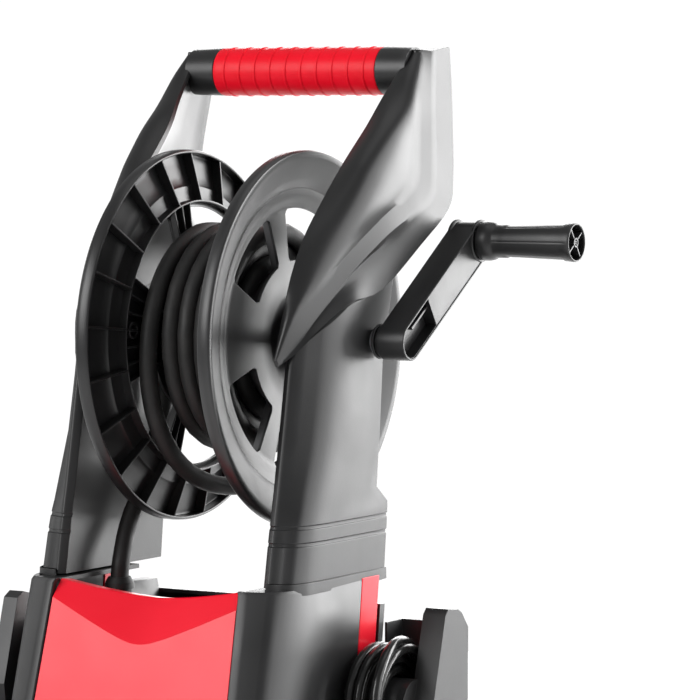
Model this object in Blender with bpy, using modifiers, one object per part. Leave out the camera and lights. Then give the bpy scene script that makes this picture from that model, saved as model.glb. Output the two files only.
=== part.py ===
"""Upright pressure washer with a crank-wound hose reel held between two struts.

Metres, +Z up, +X the crank side, the red front panel faces -Y. The floor is z = 0 and the machine's
plane of symmetry is x = 0. Each object below is one separate solid piece of the machine.
"""

import math

import bmesh
import bpy
from mathutils import Matrix, Vector

# Driving dimensions
REEL_Y = 0.025  # reel axis, from the middle of the machine's depth
REEL_Z = 0.665  # reel axis above the floor
FLANGE_RADIUS = 0.130
FLANGE_X = 0.0485  # middle of each flange rim
DRUM_RADIUS = 0.0452
HOSE_RADIUS = 0.0063
HOSE_PITCH = 0.0133
WOUND_RADIUS = 0.0800
BODY_TOP = 0.5045
BODY_BOTTOM = 0.115
FRONT_HALF = 0.0835  # half width at the front corner of the body's top
FRONT_Y = -0.101
FRONT_LEAN = 0.262  # run of the body's front for each metre down
FRONT_FLARE = 0.042
SIDE_HALF = 0.1068  # half width at the side trim
TRIM_Y = 0.005  # front edge of the side trim at the body's top
TRIM_LEAN = 0.12
TRIM_WIDTH = 0.023
BACK_Y = 0.050
BACK_LEAN = 0.13
PILLAR = 0.010  # width of each front pillar
WALL = 0.003
GAP = 0.0005
GRIP_Y = REEL_Y + 0.0825
GRIP_Z = REEL_Z + 0.1850
GRIP_RADIUS = 0.0171
STRUT_INNER = 0.0795
WHEEL_RADIUS = 0.090
WHEEL_Y = 0.120
WHEEL_X = 0.150
CRANK_END = (REEL_Y + 0.100, REEL_Z + 0.066)
CORD_RADIUS = 0.0036
LEAN_ANGLE = math.atan(FRONT_LEAN)
FRONT_NORMAL = Vector((0, -math.cos(LEAN_ANGLE), math.sin(LEAN_ANGLE)))

X_AXIS = Vector((1, 0, 0))
Y_AXIS = Vector((0, 1, 0))
Z_AXIS = Vector((0, 0, 1))
ROUND = 28  # sides of an ordinary round piece
MERGE = 1e-5

for old in list(bpy.data.objects):
    bpy.data.objects.remove(old, do_unlink=True)
PARTS = bpy.data.collections.new("pressure_washer")
CUTTERS = bpy.data.collections.new("cutters")
bpy.context.scene.collection.children.link(PARTS)
bpy.context.scene.collection.children.link(CUTTERS)


def material(name, colour, roughness, metallic=0.0):
    made = bpy.data.materials.new(name)
    made.use_nodes = True
    shader = made.node_tree.nodes["Principled BSDF"]
    shader.inputs["Base Color"].default_value = (*colour, 1)
    shader.inputs["Roughness"].default_value = roughness
    shader.inputs["Metallic"].default_value = metallic
    return made


BLACK = material("black_plastic", (0.022, 0.022, 0.024), 0.45)
RED = material("red_plastic", (0.72, 0.008, 0.022), 0.35)
RUBBER = material("black_rubber", (0.012, 0.012, 0.012), 0.7)
HOSE = material("hose_rubber", (0.014, 0.014, 0.015), 0.6)
STEEL = material("zinc_plated_steel", (0.55, 0.55, 0.56), 0.3, 1.0)
BRASS = material("brass", (0.62, 0.43, 0.16), 0.28, 1.0)
ALUMINIUM = material("cast_aluminium", (0.6, 0.6, 0.61), 0.5, 1.0)
GREY = material("grey_plastic", (0.16, 0.16, 0.17), 0.5)
CABLE = material("cable_sheath", (0.012, 0.012, 0.012), 0.3)
TANK = material("translucent_white_plastic", (0.62, 0.62, 0.6), 0.4)


# Shape helpers


def add(name, mesh, look, collection=PARTS):
    made = bpy.data.objects.new(name, mesh)
    collection.objects.link(made)
    mesh.materials.clear()
    mesh.materials.append(look)
    mesh.shade_smooth()
    mesh.set_sharp_from_angle(angle=math.radians(35))
    return made


def finish_bmesh(name, shape, look, collection=PARTS):
    bmesh.ops.recalc_face_normals(shape, faces=shape.faces)
    mesh = bpy.data.meshes.new(name)
    shape.to_mesh(mesh)
    shape.free()
    return add(name, mesh, look, collection)


def turned_to(axis):
    """A rotation that carries +Z to the axis."""
    return axis.to_track_quat("Z", "Y").to_matrix().to_4x4()


def box(name, low, high, look, bevel=0.0, collection=PARTS):
    low = Vector(low)
    high = Vector(high)
    shape = bmesh.new()
    bmesh.ops.create_cube(shape, size=1)
    bmesh.ops.scale(shape, vec=high - low, verts=shape.verts)
    made = finish_bmesh(name, shape, look, collection)
    made.location = (low + high) / 2
    if bevel:
        soften(made, bevel)
    return made


def soften(made, width, segments=1):
    rounding = made.modifiers.new("bevel", "BEVEL")
    rounding.width = width
    rounding.segments = segments
    rounding.limit_method = "ANGLE"
    rounding.angle_limit = math.radians(50)


def rod(name, start, end, radius, look, sides=ROUND, end_radius=None, collection=PARTS):
    start = Vector(start)
    end = Vector(end)
    shape = bmesh.new()
    bmesh.ops.create_cone(
        shape,
        cap_ends=True,
        segments=sides,
        radius1=radius,
        radius2=radius if end_radius is None else end_radius,
        depth=(end - start).length,
    )
    made = finish_bmesh(name, shape, look, collection)
    made.matrix_world = Matrix.Translation((start + end) / 2) @ turned_to(end - start)
    return made


def ring(name, start, end, outer, inner, look, sides=ROUND):
    """A straight bush: its profile is a closed rectangle turned about the line from start to end."""
    length = (Vector(end) - Vector(start)).length
    profile = [(outer, length), (outer, 0), (inner, 0), (inner, length)]
    return turned(name, profile, start, Vector(end) - Vector(start), look, sides, closed=True)


def turned(name, profile, centre, axis, look, sides=ROUND, closed=False):
    """Turns (radius, height) points, listed from the top down the outer side, about the axis."""
    mesh = bpy.data.meshes.new(name)
    count = len(profile)
    edges = [(i, i + 1) for i in range(count - 1)]
    if closed:
        edges.append((count - 1, 0))
    mesh.from_pydata([(r, 0, h) for r, h in profile], edges, [])
    made = bpy.data.objects.new(name, mesh)
    PARTS.objects.link(made)
    screw = made.modifiers.new("turn", "SCREW")
    screw.steps = sides
    screw.render_steps = sides
    screw.use_merge_vertices = True
    screw.merge_threshold = MERGE
    made = as_mesh(made, look)
    made.matrix_world = Matrix.Translation(Vector(centre)) @ turned_to(Vector(axis))
    return made


def as_mesh(made, look):
    """The evaluated object as a plain mesh object of the same name and place."""
    bpy.context.view_layer.update()
    graph = bpy.context.evaluated_depsgraph_get()
    mesh = bpy.data.meshes.new_from_object(made.evaluated_get(graph))
    place = made.matrix_world.copy()
    name = made.name
    bpy.data.objects.remove(made, do_unlink=True)
    shape = bmesh.new()
    shape.from_mesh(mesh)
    bmesh.ops.remove_doubles(shape, verts=shape.verts, dist=MERGE)
    fresh = finish_bmesh(name, shape, look)
    fresh.matrix_world = place
    return fresh


def plate(name, outline, axis, low, high, look, bevel=0.0):
    """A flat outline extruded along X (outline in Y, Z) or along Z (outline in X, Y)."""
    curve = bpy.data.curves.new(name, "CURVE")
    curve.dimensions = "2D"
    curve.fill_mode = "BOTH"
    curve.extrude = (high - low) / 2
    spline = curve.splines.new("POLY")
    spline.points.add(len(outline) - 1)
    for point, (u, v) in zip(spline.points, outline):
        point.co = (u, v, 0, 1)
    spline.use_cyclic_u = True
    made = bpy.data.objects.new(name, curve)
    PARTS.objects.link(made)
    middle = (low + high) / 2
    if axis == "X":
        turn = Matrix(((0, 0, 1, middle), (1, 0, 0, 0), (0, 1, 0, 0), (0, 0, 0, 1)))
    else:
        turn = Matrix.Translation((0, 0, middle))
    made.matrix_world = turn
    made = as_mesh(made, look)
    if bevel:
        soften(made, bevel)
    return made


def tube(name, route, radius, look, roundness=3):
    curve = bpy.data.curves.new(name, "CURVE")
    curve.dimensions = "3D"
    curve.bevel_depth = radius
    curve.bevel_resolution = roundness
    curve.use_fill_caps = True
    spline = curve.splines.new("POLY")
    spline.points.add(len(route) - 1)
    for point, place in zip(spline.points, route):
        point.co = (*place, 1)
    made = bpy.data.objects.new(name, curve)
    PARTS.objects.link(made)
    curve.materials.append(look)
    return made


def smooth_route(guides, count):
    """Points of one smooth curve through the guides."""
    guides = [Vector(guide) for guide in guides]
    padded = [2 * guides[0] - guides[1], *guides, 2 * guides[-1] - guides[-2]]
    spans = len(guides) - 1
    found = []
    for step in range(count + 1):
        along = spans * step / count
        span = min(int(along), spans - 1)
        t = along - span
        a, b, c, d = padded[span : span + 4]
        square = (2 * a - 5 * b + 4 * c - d) * t**2
        cube = (3 * b - a - 3 * c + d) * t**3
        found.append(0.5 * (2 * b + (c - a) * t + square + cube))
    return found


def loft(name, rings, look, collection=PARTS):
    """A closed skin over rings of the same number of points, with a flat cap on each end.

    Each side is two triangles split the same way, so that mirrored pieces and nested walls match.
    """
    shape = bmesh.new()
    made = [[shape.verts.new(point) for point in points] for points in rings]
    count = len(made[0])
    for lower, upper in zip(made, made[1:]):
        for i in range(count):
            j = (i + 1) % count
            shape.faces.new((lower[i], lower[j], upper[j]))
            shape.faces.new((lower[i], upper[j], upper[i]))
    shape.faces.new(made[0])
    shape.faces.new(made[-1])
    return finish_bmesh(name, shape, look, collection)


def as_helper(made):
    for collection in list(made.users_collection):
        collection.objects.unlink(made)
    CUTTERS.objects.link(made)
    made.hide_render = True
    made.display_type = "WIRE"
    return made


def combine(target, other, operation):
    as_helper(other)
    step = target.modifiers.new(operation.lower(), "BOOLEAN")
    step.operation = operation
    step.solver = "EXACT"
    step.object = other
    return target


def cut(target, cutter):
    return combine(target, cutter, "DIFFERENCE")


def join(target, other):
    return combine(target, other, "UNION")


def mirrored(points):
    return [(-x, y, z) for x, y, z in points]


def both_sides(make):
    """Calls make(side, suffix) for the left and the right of the machine."""
    for side, suffix in ((-1, "left"), (1, "right")):
        make(side, suffix)


def sided(points, side):
    return points if side > 0 else mirrored(points)


def arc(centre, radius, start, end, steps):
    """Points (u, v) on an arc, with the angles in degrees."""
    return [
        (
            centre[0] + radius * math.cos(math.radians(start + (end - start) * i / steps)),
            centre[1] + radius * math.sin(math.radians(start + (end - start) * i / steps)),
        )
        for i in range(steps + 1)
    ]


# Body


def front_y(z):
    return FRONT_Y - FRONT_LEAN * (BODY_TOP - z)


def front_half(z):
    return FRONT_HALF + FRONT_FLARE * (BODY_TOP - z)


def trim_y(z):
    return TRIM_Y - TRIM_LEAN * (BODY_TOP - z)


def back_y(z):
    return BACK_Y + BACK_LEAN * (BODY_TOP - z)


def casing_outline(z, inset):
    """Outline of the right casing, front pillar first, each point moved inwards by the inset."""
    w = front_half(z)
    y = front_y(z)
    s = SIDE_HALF
    t = trim_y(z)
    bulge = s - w
    corner = [
        (w + 0.60 * bulge - inset, y + 0.26 * bulge + inset, z),
        (w + 0.84 * bulge - inset, y + 0.70 * bulge + 0.5 * inset, z),
        (w + 0.96 * bulge - inset, y + 1.70 * bulge, z),
        (s - inset, t - inset, z),
    ]
    if inset:
        return [(w - 0.035, y + inset, z), (w - 0.004, y + inset, z), *corner, (s - 0.040, t - inset, z)]
    return [(w - PILLAR, y, z), (w - 0.002, y, z), *corner, (s - 0.016, t, z)]


def make_casing(side, suffix):
    """A side casing: front pillar, side wall, and a top ledge that the strut's foot stands on."""
    levels = (BODY_BOTTOM, BODY_TOP)
    casing = loft(f"{suffix}_casing", [sided(casing_outline(z, 0), side) for z in levels], BLACK)
    hollow = (BODY_BOTTOM - 0.01, BODY_TOP - WALL)
    inside = [sided(casing_outline(z, WALL), side) for z in hollow]
    cut(casing, loft(f"{suffix}_casing_hollow", inside, BLACK))
    slot = strut_tenon(0.0006)
    slot_rings = [[(x, y, z) for x, y in slot] for z in (BODY_TOP - 0.02, BODY_TOP + 0.02)]
    cut(casing, loft(f"{suffix}_casing_slot", [sided(r, side) for r in slot_rings], BLACK))


def make_side_trim(side, suffix):
    """The red strip between the side casing and the rear casing."""
    rings = []
    for z in (BODY_BOTTOM + 0.001, BODY_TOP):
        s = SIDE_HALF
        y = trim_y(z) + GAP
        rear = y + TRIM_WIDTH
        outline = [(s - 0.004, y, z), (s, y, z), (s + 0.0005, rear, z), (s - 0.0035, rear, z)]
        rings.append(sided(outline, side))
    loft(f"side_trim_{suffix}", rings, RED)


def rear_outline(z, inset):
    s = SIDE_HALF + 0.0005 - inset
    y = trim_y(z) + TRIM_WIDTH + 2 * GAP
    back = back_y(z) - inset
    half = [
        (s, y, z),
        (s - 0.001, y + 0.008, z),
        (s - 0.012, back - 0.012, z),
        (s - 0.030, back, z),
    ]
    if inset:
        half[0] = (s, y - 0.02, z)
    return half + mirrored(reversed(half))


def make_rear_casing():
    levels = (BODY_BOTTOM, 0.30, BODY_TOP)
    casing = loft("rear_casing", [rear_outline(z, 0) for z in levels], BLACK)
    hollow = (BODY_BOTTOM - 0.01, 0.30, BODY_TOP - WALL)
    cut(casing, loft("rear_casing_hollow", [rear_outline(z, WALL) for z in hollow], BLACK))
    for row in range(6):
        z = 0.385 + 0.014 * row
        slot = box("vent_cutter", (-0.045, 0.02, z), (0.045, 0.12, z + 0.006), BLACK)
        cut(casing, slot)


def panel_surface(name, columns, rows, place, look):
    """An open grid of points given a wall's thickness behind it."""
    shape = bmesh.new()
    grid = []
    for r in range(rows + 1):
        grid.append([shape.verts.new(place(c / columns, r / rows)) for c in range(columns + 1)])
    for below, above in zip(grid, grid[1:]):
        for i in range(columns):
            shape.faces.new((below[i], below[i + 1], above[i + 1], above[i]))
    mesh = bpy.data.meshes.new(name)
    shape.normal_update()
    shape.to_mesh(mesh)
    shape.free()
    made = add(name, mesh, look)
    thick = made.modifiers.new("wall", "SOLIDIFY")
    thick.thickness = WALL
    thick.offset = -1
    return made


PANEL_BOTTOM = 0.270
SADDLE_DEPTH = 0.0085  # how far the panel's top dips at the middle


def panel_top(x, half):
    return BODY_TOP - 0.001 - SADDLE_DEPTH * (1 - abs(x / half) ** 1.6)


def make_front_panel():
    """The red panel between the pillars, with a dished upper part under a saddle-shaped edge."""

    def place(u, v):
        half_top = front_half(BODY_TOP) - PILLAR - GAP
        top = panel_top((2 * u - 1) * half_top, half_top)
        z = PANEL_BOTTOM + v * (top - PANEL_BOTTOM)
        half = front_half(z) - PILLAR - GAP
        x = (2 * u - 1) * half
        dish = 0.010 * max(0.0, (z - 0.455) / 0.05) * (1 - abs(x / half) ** 2)
        return (x, front_y(z) + 0.001 + dish, z)

    panel_surface("front_panel", 8, 8, place, RED)


def make_lower_cover():
    """The black cover under the red panel, open for the switch and the water inlet."""

    def place(u, v):
        z = BODY_BOTTOM + v * (PANEL_BOTTOM - GAP - BODY_BOTTOM)
        half = front_half(z) - PILLAR - GAP
        return ((2 * u - 1) * half, front_y(z) + 0.001, z)

    cover = panel_surface("lower_front_cover", 2, 2, place, BLACK)
    switch = switch_centre()
    through = FRONT_NORMAL * 0.03
    cut(cover, rod("switch_hole", switch - through, switch + through, 0.0285, BLACK))
    inlet = Vector((INLET_X, front_y(INLET_Z), INLET_Z))
    through = Y_AXIS * 0.03
    cut(cover, rod("inlet_hole", inlet + through, inlet - through, 0.0150, BLACK))


def make_top_deck():
    """The deck between the struts, behind the red panel's saddle, with the hose grommet's hole."""
    right = [(0.0765, -0.070), (0.0765, -0.004), (0.0865, 0.0005), (0.0865, 0.0275)]
    outline = right + [(-x, y) for x, y in reversed(right)]
    deck = plate("top_deck", outline, "Z", 0.4880, 0.4915, BLACK)
    low = Vector((GROMMET[0], GROMMET[1], 0.47))
    cut(deck, rod("grommet_hole", low, low + Z_AXIS * 0.04, 0.0088, BLACK))


# Switch and water inlet

SWITCH_Z = 0.212
INLET_X = 0.040
INLET_Z = 0.150
KNOB_RADIUS = 0.0225


def switch_centre():
    return Vector((0, front_y(SWITCH_Z) + 0.001, SWITCH_Z))


def make_switch():
    """A turned bezel in the lower cover and the rotary knob in it."""
    centre = switch_centre()
    profile = [
        (0.0265, 0.004),
        (0.0315, 0.003),
        (0.0320, GAP),
        (0.0278, GAP),
        (0.0278, -0.022),
        (0.0240, -0.022),
        (0.0240, 0.004),
    ]
    turned("switch_bezel", profile, centre, FRONT_NORMAL, BLACK, closed=True)
    knob_profile = [
        (0, 0.0165),
        (0.019, 0.0165),
        (0.0205, 0.015),
        (KNOB_RADIUS, -0.014),
        (0.008, -0.016),
        (0.008, -0.021),
        (0, -0.021),
    ]
    knob = turned("switch_knob", knob_profile, centre, FRONT_NORMAL, RED)
    handle = box("knob_wing", (-0.0045, -0.0185, 0.010), (0.0045, 0.0185, 0.028), RED, 0.0015)
    on_knob = Matrix.Translation((0, 0, 0.019))
    handle.matrix_world = Matrix.Translation(centre) @ turned_to(FRONT_NORMAL) @ on_knob
    join(knob, handle)


def make_water_inlet():
    """The brass inlet connector with its hose-tail seat, screwed into the pump."""
    start = Vector((INLET_X, front_y(INLET_Z) + 0.0885, INLET_Z))
    profile = [
        (0, 0.105),
        (0.0095, 0.105),
        (0.0095, 0.098),
        (0.0080, 0.096),
        (0.0095, 0.094),
        (0.0095, 0.088),
        (0.0135, 0.088),
        (0.0135, 0.070),
        (0.0100, 0.068),
        (0.0100, 0),
        (0, 0),
    ]
    turned("water_inlet", profile, start, -Y_AXIS, BRASS, 24)


# Motor and pump


def make_motor():
    profile = [
        (0, 0.205),
        (0.030, 0.205),
        (0.034, 0.190),
        (0.054, 0.185),
        (0.056, 0.150),
        (0.052, 0.148),
        (0.052, 0.030),
        (0.056, 0.028),
        (0.056, 0),
        (0, 0),
    ]
    turned("motor", profile, (0, -0.030, 0.2405), Z_AXIS, ALUMINIUM)


def make_pump():
    """The pump head under the motor: a cast block with a valve boss on each side."""
    pump = box("pump_head", (-0.050, -0.080, 0.1185), (0.050, 0.022, 0.240), ALUMINIUM, 0.008)
    for x in (-0.030, 0.030):
        join(pump, rod("valve_boss", (x, -0.060, 0.165), (x, -0.094, 0.165), 0.013, ALUMINIUM, 16))


# Base, feet and wheels

AXLE_RADIUS = 0.006


def base_outline(z, inset):
    front = front_y(BODY_BOTTOM) - 0.004 + inset
    rear = 0.150 - inset
    half = 0.104 - inset
    return [
        (-half + 0.012, front, z),
        (half - 0.012, front, z),
        (half, front + 0.015, z),
        (half + 0.010, -0.020, z),
        (half + 0.010, rear, z),
        (-half - 0.010, rear, z),
        (-half - 0.010, -0.020, z),
        (-half, front + 0.015, z),
    ]


def make_base():
    """The base tray, open at the top, with the axle's two side bores."""
    base = loft("base", [base_outline(z, 0) for z in (0.0225, BODY_BOTTOM - GAP)], BLACK)
    hollow = loft("base_hollow", [base_outline(z, 0.0035) for z in (0.0265, BODY_BOTTOM + 0.02)], BLACK)
    cut(hollow, box("axle_housing", (-0.2, 0.104, 0), (0.2, 0.2, 0.2), BLACK))
    cut(base, hollow)
    reach = Vector((0.2, 0, 0))
    axle = Vector((0, WHEEL_Y, WHEEL_RADIUS))
    cut(base, rod("axle_bore", axle - reach, axle + reach, AXLE_RADIUS + 0.0004, BLACK))


def make_foot(side, suffix):
    x = 0.075 * side
    y = -0.178
    foot = rod(f"front_foot_{suffix}", (x, y, 0), (x, y, 0.0220), 0.014, RUBBER, 20, 0.017)
    soften(foot, 0.0015)


def make_wheel(side, suffix):
    centre = Vector((WHEEL_X * side, WHEEL_Y, WHEEL_RADIUS))
    outward = X_AXIS * side
    tyre_profile = [
        (0.0690, 0.0175),
        (0.0840, 0.0175),
        (0.0888, 0.0135),
        (WHEEL_RADIUS, 0.0060),
        (WHEEL_RADIUS, -0.0060),
        (0.0888, -0.0135),
        (0.0840, -0.0175),
        (0.0690, -0.0175),
    ]
    turned(f"wheel_tyre_{suffix}", tyre_profile, centre, outward, RUBBER, 32, closed=True)
    hub_profile = [
        (0.0685, 0.0150),
        (0.0685, -0.0150),
        (0.0640, -0.0150),
        (0.0600, 0.0030),
        (0.0180, 0.0060),
        (0.0150, -0.0165),
        (AXLE_RADIUS + 0.0004, -0.0165),
        (AXLE_RADIUS + 0.0004, 0.0150),
        (0.0180, 0.0150),
        (0.0200, 0.0100),
        (0.0620, 0.0070),
        (0.0650, 0.0150),
    ]
    turned(f"wheel_hub_{suffix}", hub_profile, centre, outward, BLACK, 32, closed=True)
    cap_profile = [(0, 0.0235), (0.010, 0.0230), (0.0155, 0.0200), (0.0165, 0.0155), (0, 0.0155)]
    turned(f"wheel_cap_{suffix}", cap_profile, centre, outward, RED, 24)


def make_axle():
    half = WHEEL_X + 0.0148
    rod("wheel_axle", (-half, WHEEL_Y, WHEEL_RADIUS), (half, WHEEL_Y, WHEEL_RADIUS), AXLE_RADIUS, STEEL, 20)


# Struts and blade covers (lengths from the reel axis)

BLADE_EDGE = ((-0.086, -0.009), (-0.030, 0.018), (0.029, 0.033), (0.046, 0.040), (0.125, 0.085))


def blade_lower(y):
    """Height of the blade cover's lower edge at y."""
    for (y0, z0), (y1, z1) in zip(BLADE_EDGE, BLADE_EDGE[1:]):
        if y <= y1:
            return z0 + (z1 - z0) * (y - y0) / (y1 - y0)
    return BLADE_EDGE[-1][1]


def strut_tenon(grow):
    """Outline of the strut below the casing's top, in world X and Y."""
    return [
        (STRUT_INNER - grow, REEL_Y - 0.108 - grow),
        (0.0845 + grow, REEL_Y - 0.106 - grow),
        (0.0915 + grow, REEL_Y - 0.065),
        (0.0950 + grow, REEL_Y - 0.032 + grow),
        (STRUT_INNER - grow, REEL_Y - 0.032 + grow),
    ]


def strut_ring(front, shoulder, rear, rear_half, z):
    """Outline of the right strut, with its front, shoulder and rear measured from the reel axis."""
    outline = [
        (STRUT_INNER, front),
        (0.0870, front + 0.0008),
        (0.0985, front + 0.0008 + 0.7 * shoulder),
        (0.1032, front + 0.0040 + shoulder),
        (rear_half, front + 0.0260 + shoulder),
        (rear_half, rear - 0.0060),
        (rear_half - 0.0030, rear),
        (STRUT_INNER, rear),
    ]
    return [(x, REEL_Y + y, REEL_Z + (z if z is not None else blade_lower(y) - 0.0012)) for x, y in outline]


def make_strut(side, suffix):
    """A strut: a foot band on the casing, a leaning column, and a slanted top under the blade cover."""
    foot = BODY_TOP + GAP - REEL_Z
    rings = [
        strut_ring(-0.1070, 0.0040, 0.0163, 0.1050, foot),
        strut_ring(-0.0975, 0.0100, 0.0210, 0.1056, -0.1115),
        strut_ring(-0.0965, 0.0110, 0.0060, 0.1056, -0.1075),
        strut_ring(-0.0840, 0.0210, 0.0120, 0.1056, -0.0380),
        strut_ring(-0.0790, 0.0220, 0.0260, 0.1056, None),
    ]
    strut = loft(f"strut_{suffix}", [sided(points, side) for points in rings], BLACK)
    tenon = [[(x, y, z) for x, y in strut_tenon(0)] for z in (BODY_TOP - 0.045, REEL_Z - 0.15)]
    join(strut, loft(f"strut_tenon_{suffix}", [sided(points, side) for points in tenon], BLACK))
    start = Vector((0.05 * side, REEL_Y, REEL_Z))
    radius = 0.0085 if side > 0 else 0.0065
    cut(strut, rod(f"strut_bore_{suffix}", start, start + X_AXIS * 0.1 * side, radius, BLACK))


BLADE_OUTLINE = (
    (0.0795, -0.086, -0.009),
    (0.0795, -0.040, 0.084),
    (0.0800, 0.012, 0.132),
    (0.0840, 0.044, 0.164),
    (0.0880, 0.068, 0.189),
    (0.0905, 0.079, 0.199),
    (0.0975, 0.112, 0.203),
    (0.0985, 0.119, 0.197),
    (0.1035, 0.114, 0.150),
    (0.1072, 0.108, 0.104),
    (0.1076, 0.100, 0.088),
    (0.1075, 0.052, 0.056),
    (0.1070, 0.014, 0.036),
    (0.1030, -0.030, 0.022),
)
BLADE_RIDGE = (
    (0.0860, -0.070, 0.005),
    (0.1040, -0.010, 0.056),
    (0.1085, 0.056, 0.123),
    (0.1085, 0.058, 0.180),
)
RIDGE_OF = (0, 1, 2, 2, 3, 3, 3, 3, 2, 2, 2, 1, 1, 0)  # the ridge point that each outline point slopes to


def make_blade(side, suffix):
    """An upper blade cover: a flat inner face and outer facets that meet along a bent ridge."""
    shape = bmesh.new()

    def corner(x, y, z):
        return shape.verts.new((x * side, REEL_Y + y, REEL_Z + z))

    inner = [corner(STRUT_INNER - 0.001, y, z) for x, y, z in BLADE_OUTLINE]
    outer = [corner(x, y, z) for x, y, z in BLADE_OUTLINE]
    ridge = [corner(x, y, z) for x, y, z in BLADE_RIDGE]
    count = len(outer)
    shape.faces.new(inner)
    for i in range(count):
        j = (i + 1) % count
        shape.faces.new((inner[i], inner[j], outer[j], outer[i]))
        a = RIDGE_OF[i]
        b = RIDGE_OF[j]
        shape.faces.new((outer[i], outer[j], ridge[b]))
        if a != b:
            shape.faces.new((outer[i], ridge[b], ridge[a]))
    blade = finish_bmesh(f"blade_cover_{suffix}", shape, BLACK)
    start = Vector((0.05 * side, GRIP_Y, GRIP_Z))
    cut(blade, rod(f"blade_bore_{suffix}", start, start + X_AXIS * 0.040 * side, 0.0114, BLACK))


# Handle


def make_handle():
    """The steel cross tube, its red grip and the two black collars."""
    rod("handle_tube", (-0.0885, GRIP_Y, GRIP_Z), (0.0885, GRIP_Y, GRIP_Z), 0.0110, STEEL, 24)
    left = (-0.067, GRIP_Y, GRIP_Z)
    length = 0.134
    bore = 0.0113
    profile = [
        (0.0165, length),
        (GRIP_RADIUS, length - 0.002),
        (GRIP_RADIUS, 0.030),
        (GRIP_RADIUS + 0.0007, 0.010),
        (0.0165, 0),
        (bore, 0),
        (bore, length),
    ]
    turned("handle_grip", profile, left, X_AXIS, RED, closed=True)

    def collar(side, suffix):
        start = ((0.067 + GAP) * side, GRIP_Y, GRIP_Z)
        profile = [(0.0170, 0.0105), (0.0163, 0), (bore, 0), (bore, 0.0105)]
        turned(f"grip_collar_{suffix}", profile, start, X_AXIS * side, BLACK, closed=True)

    both_sides(collar)


# Reel (turned about the reel axis)

REEL = Vector((0, REEL_Y, REEL_Z))
AXLE = 0.006
WINDOW_ANGLES = (24, 78, 132, 218, 272, 326)  # middle of each flange window, in degrees from +Y
WINDOW_HALF = 20
WINDOW_INNER = 0.054
WINDOW_OUTER = 0.090
HUB_FACE = 0.0345  # inner face of each flange's web


def sector(inner, outer, middle, spread, steps):
    """A ring sector in the flange's plane, its angles in degrees."""
    return arc((0, 0), outer, middle - spread, middle + spread, steps) + arc(
        (0, 0), inner, middle + spread, middle - spread, steps
    )


def make_flange(side, suffix):
    """A dished reel flange with a rolled rim and a ring of windows."""
    profile = [
        (0.1265, FLANGE_X + 0.0055),
        (0.1295, FLANGE_X + 0.0035),
        (FLANGE_RADIUS, FLANGE_X - 0.0005),
        (0.1290, FLANGE_X - 0.0045),
        (0.1050, HUB_FACE + 0.0050),
        (0.0960, HUB_FACE),
        (0.0300, HUB_FACE),
        (AXLE + 0.0003, HUB_FACE),
        (AXLE + 0.0003, HUB_FACE + 0.016),
        (0.0220, HUB_FACE + 0.016),
        (0.0240, HUB_FACE + 0.0040),
        (0.0950, HUB_FACE + 0.0040),
        (0.1045, HUB_FACE + 0.0090),
        (0.1255, FLANGE_X - 0.0010),
    ]
    flange = turned(f"reel_flange_{suffix}", profile, REEL, X_AXIS * side, BLACK, 36, closed=True)
    for i, middle in enumerate(WINDOW_ANGLES):
        outline = sector(WINDOW_INNER, WINDOW_OUTER, middle, WINDOW_HALF, 4)
        low = min(0.02 * side, 0.07 * side)
        window = plate(f"window_{suffix}_{i}", outline, "X", low, low + 0.05, BLACK)
        window.matrix_world = Matrix.Translation((0, REEL_Y, REEL_Z)) @ window.matrix_world
        cut(flange, window)


def make_reel_core():
    """The drum between the flanges, the steel axle and the wound hose."""
    half = HUB_FACE - GAP
    centre = REEL - X_AXIS * half
    drum_profile = [
        (DRUM_RADIUS, 2 * half),
        (DRUM_RADIUS, 0),
        (DRUM_RADIUS - 0.003, 0),
        (DRUM_RADIUS - 0.003, half - 0.002),
        (AXLE + 0.0003, half - 0.002),
        (AXLE + 0.0003, half + 0.002),
        (DRUM_RADIUS - 0.003, half + 0.002),
        (DRUM_RADIUS - 0.003, 2 * half),
    ]
    turned("reel_drum", drum_profile, centre, X_AXIS, BLACK, 36, closed=True)
    start = REEL - X_AXIS * 0.0735
    rod("reel_axle", start, REEL + X_AXIS * 0.1245, AXLE, STEEL, 20)
    ring("axle_bush", REEL + X_AXIS * 0.0790, REEL + X_AXIS * 0.1085, 0.0082, AXLE + 0.0003, GREY, 24)
    wound = 2 * (half - 0.0012)
    step = HOSE_PITCH
    winding_profile = [
        (WOUND_RADIUS, wound),
        (WOUND_RADIUS, step),
        (WOUND_RADIUS - 0.0135, step),
        (WOUND_RADIUS - 0.0135, 0),
        (DRUM_RADIUS + GAP, 0),
        (DRUM_RADIUS + GAP, wound),
    ]
    turned("hose_winding", winding_profile, REEL - X_AXIS * wound / 2, X_AXIS, HOSE, 36, closed=True)


SLACK = (
    # angle about the reel axis in degrees, radius, distance along the axis
    (80, 0.0737, -0.0268),
    (100, 0.0737, -0.0268),
    (120, 0.0740, -0.0268),
    (140, 0.0750, -0.0268),
    (160, 0.0765, -0.0268),
    (180, 0.0795, -0.0266),
    (200, 0.0850, -0.0262),
    (218, 0.0915, -0.0250),
    (236, 0.0985, -0.0215),
    (252, 0.1030, -0.0150),
    (268, 0.1045, -0.0060),
    (284, 0.1030, 0.0035),
    (300, 0.1005, 0.0110),
    (316, 0.0985, 0.0160),
    (332, 0.0975, 0.0185),
)


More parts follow.
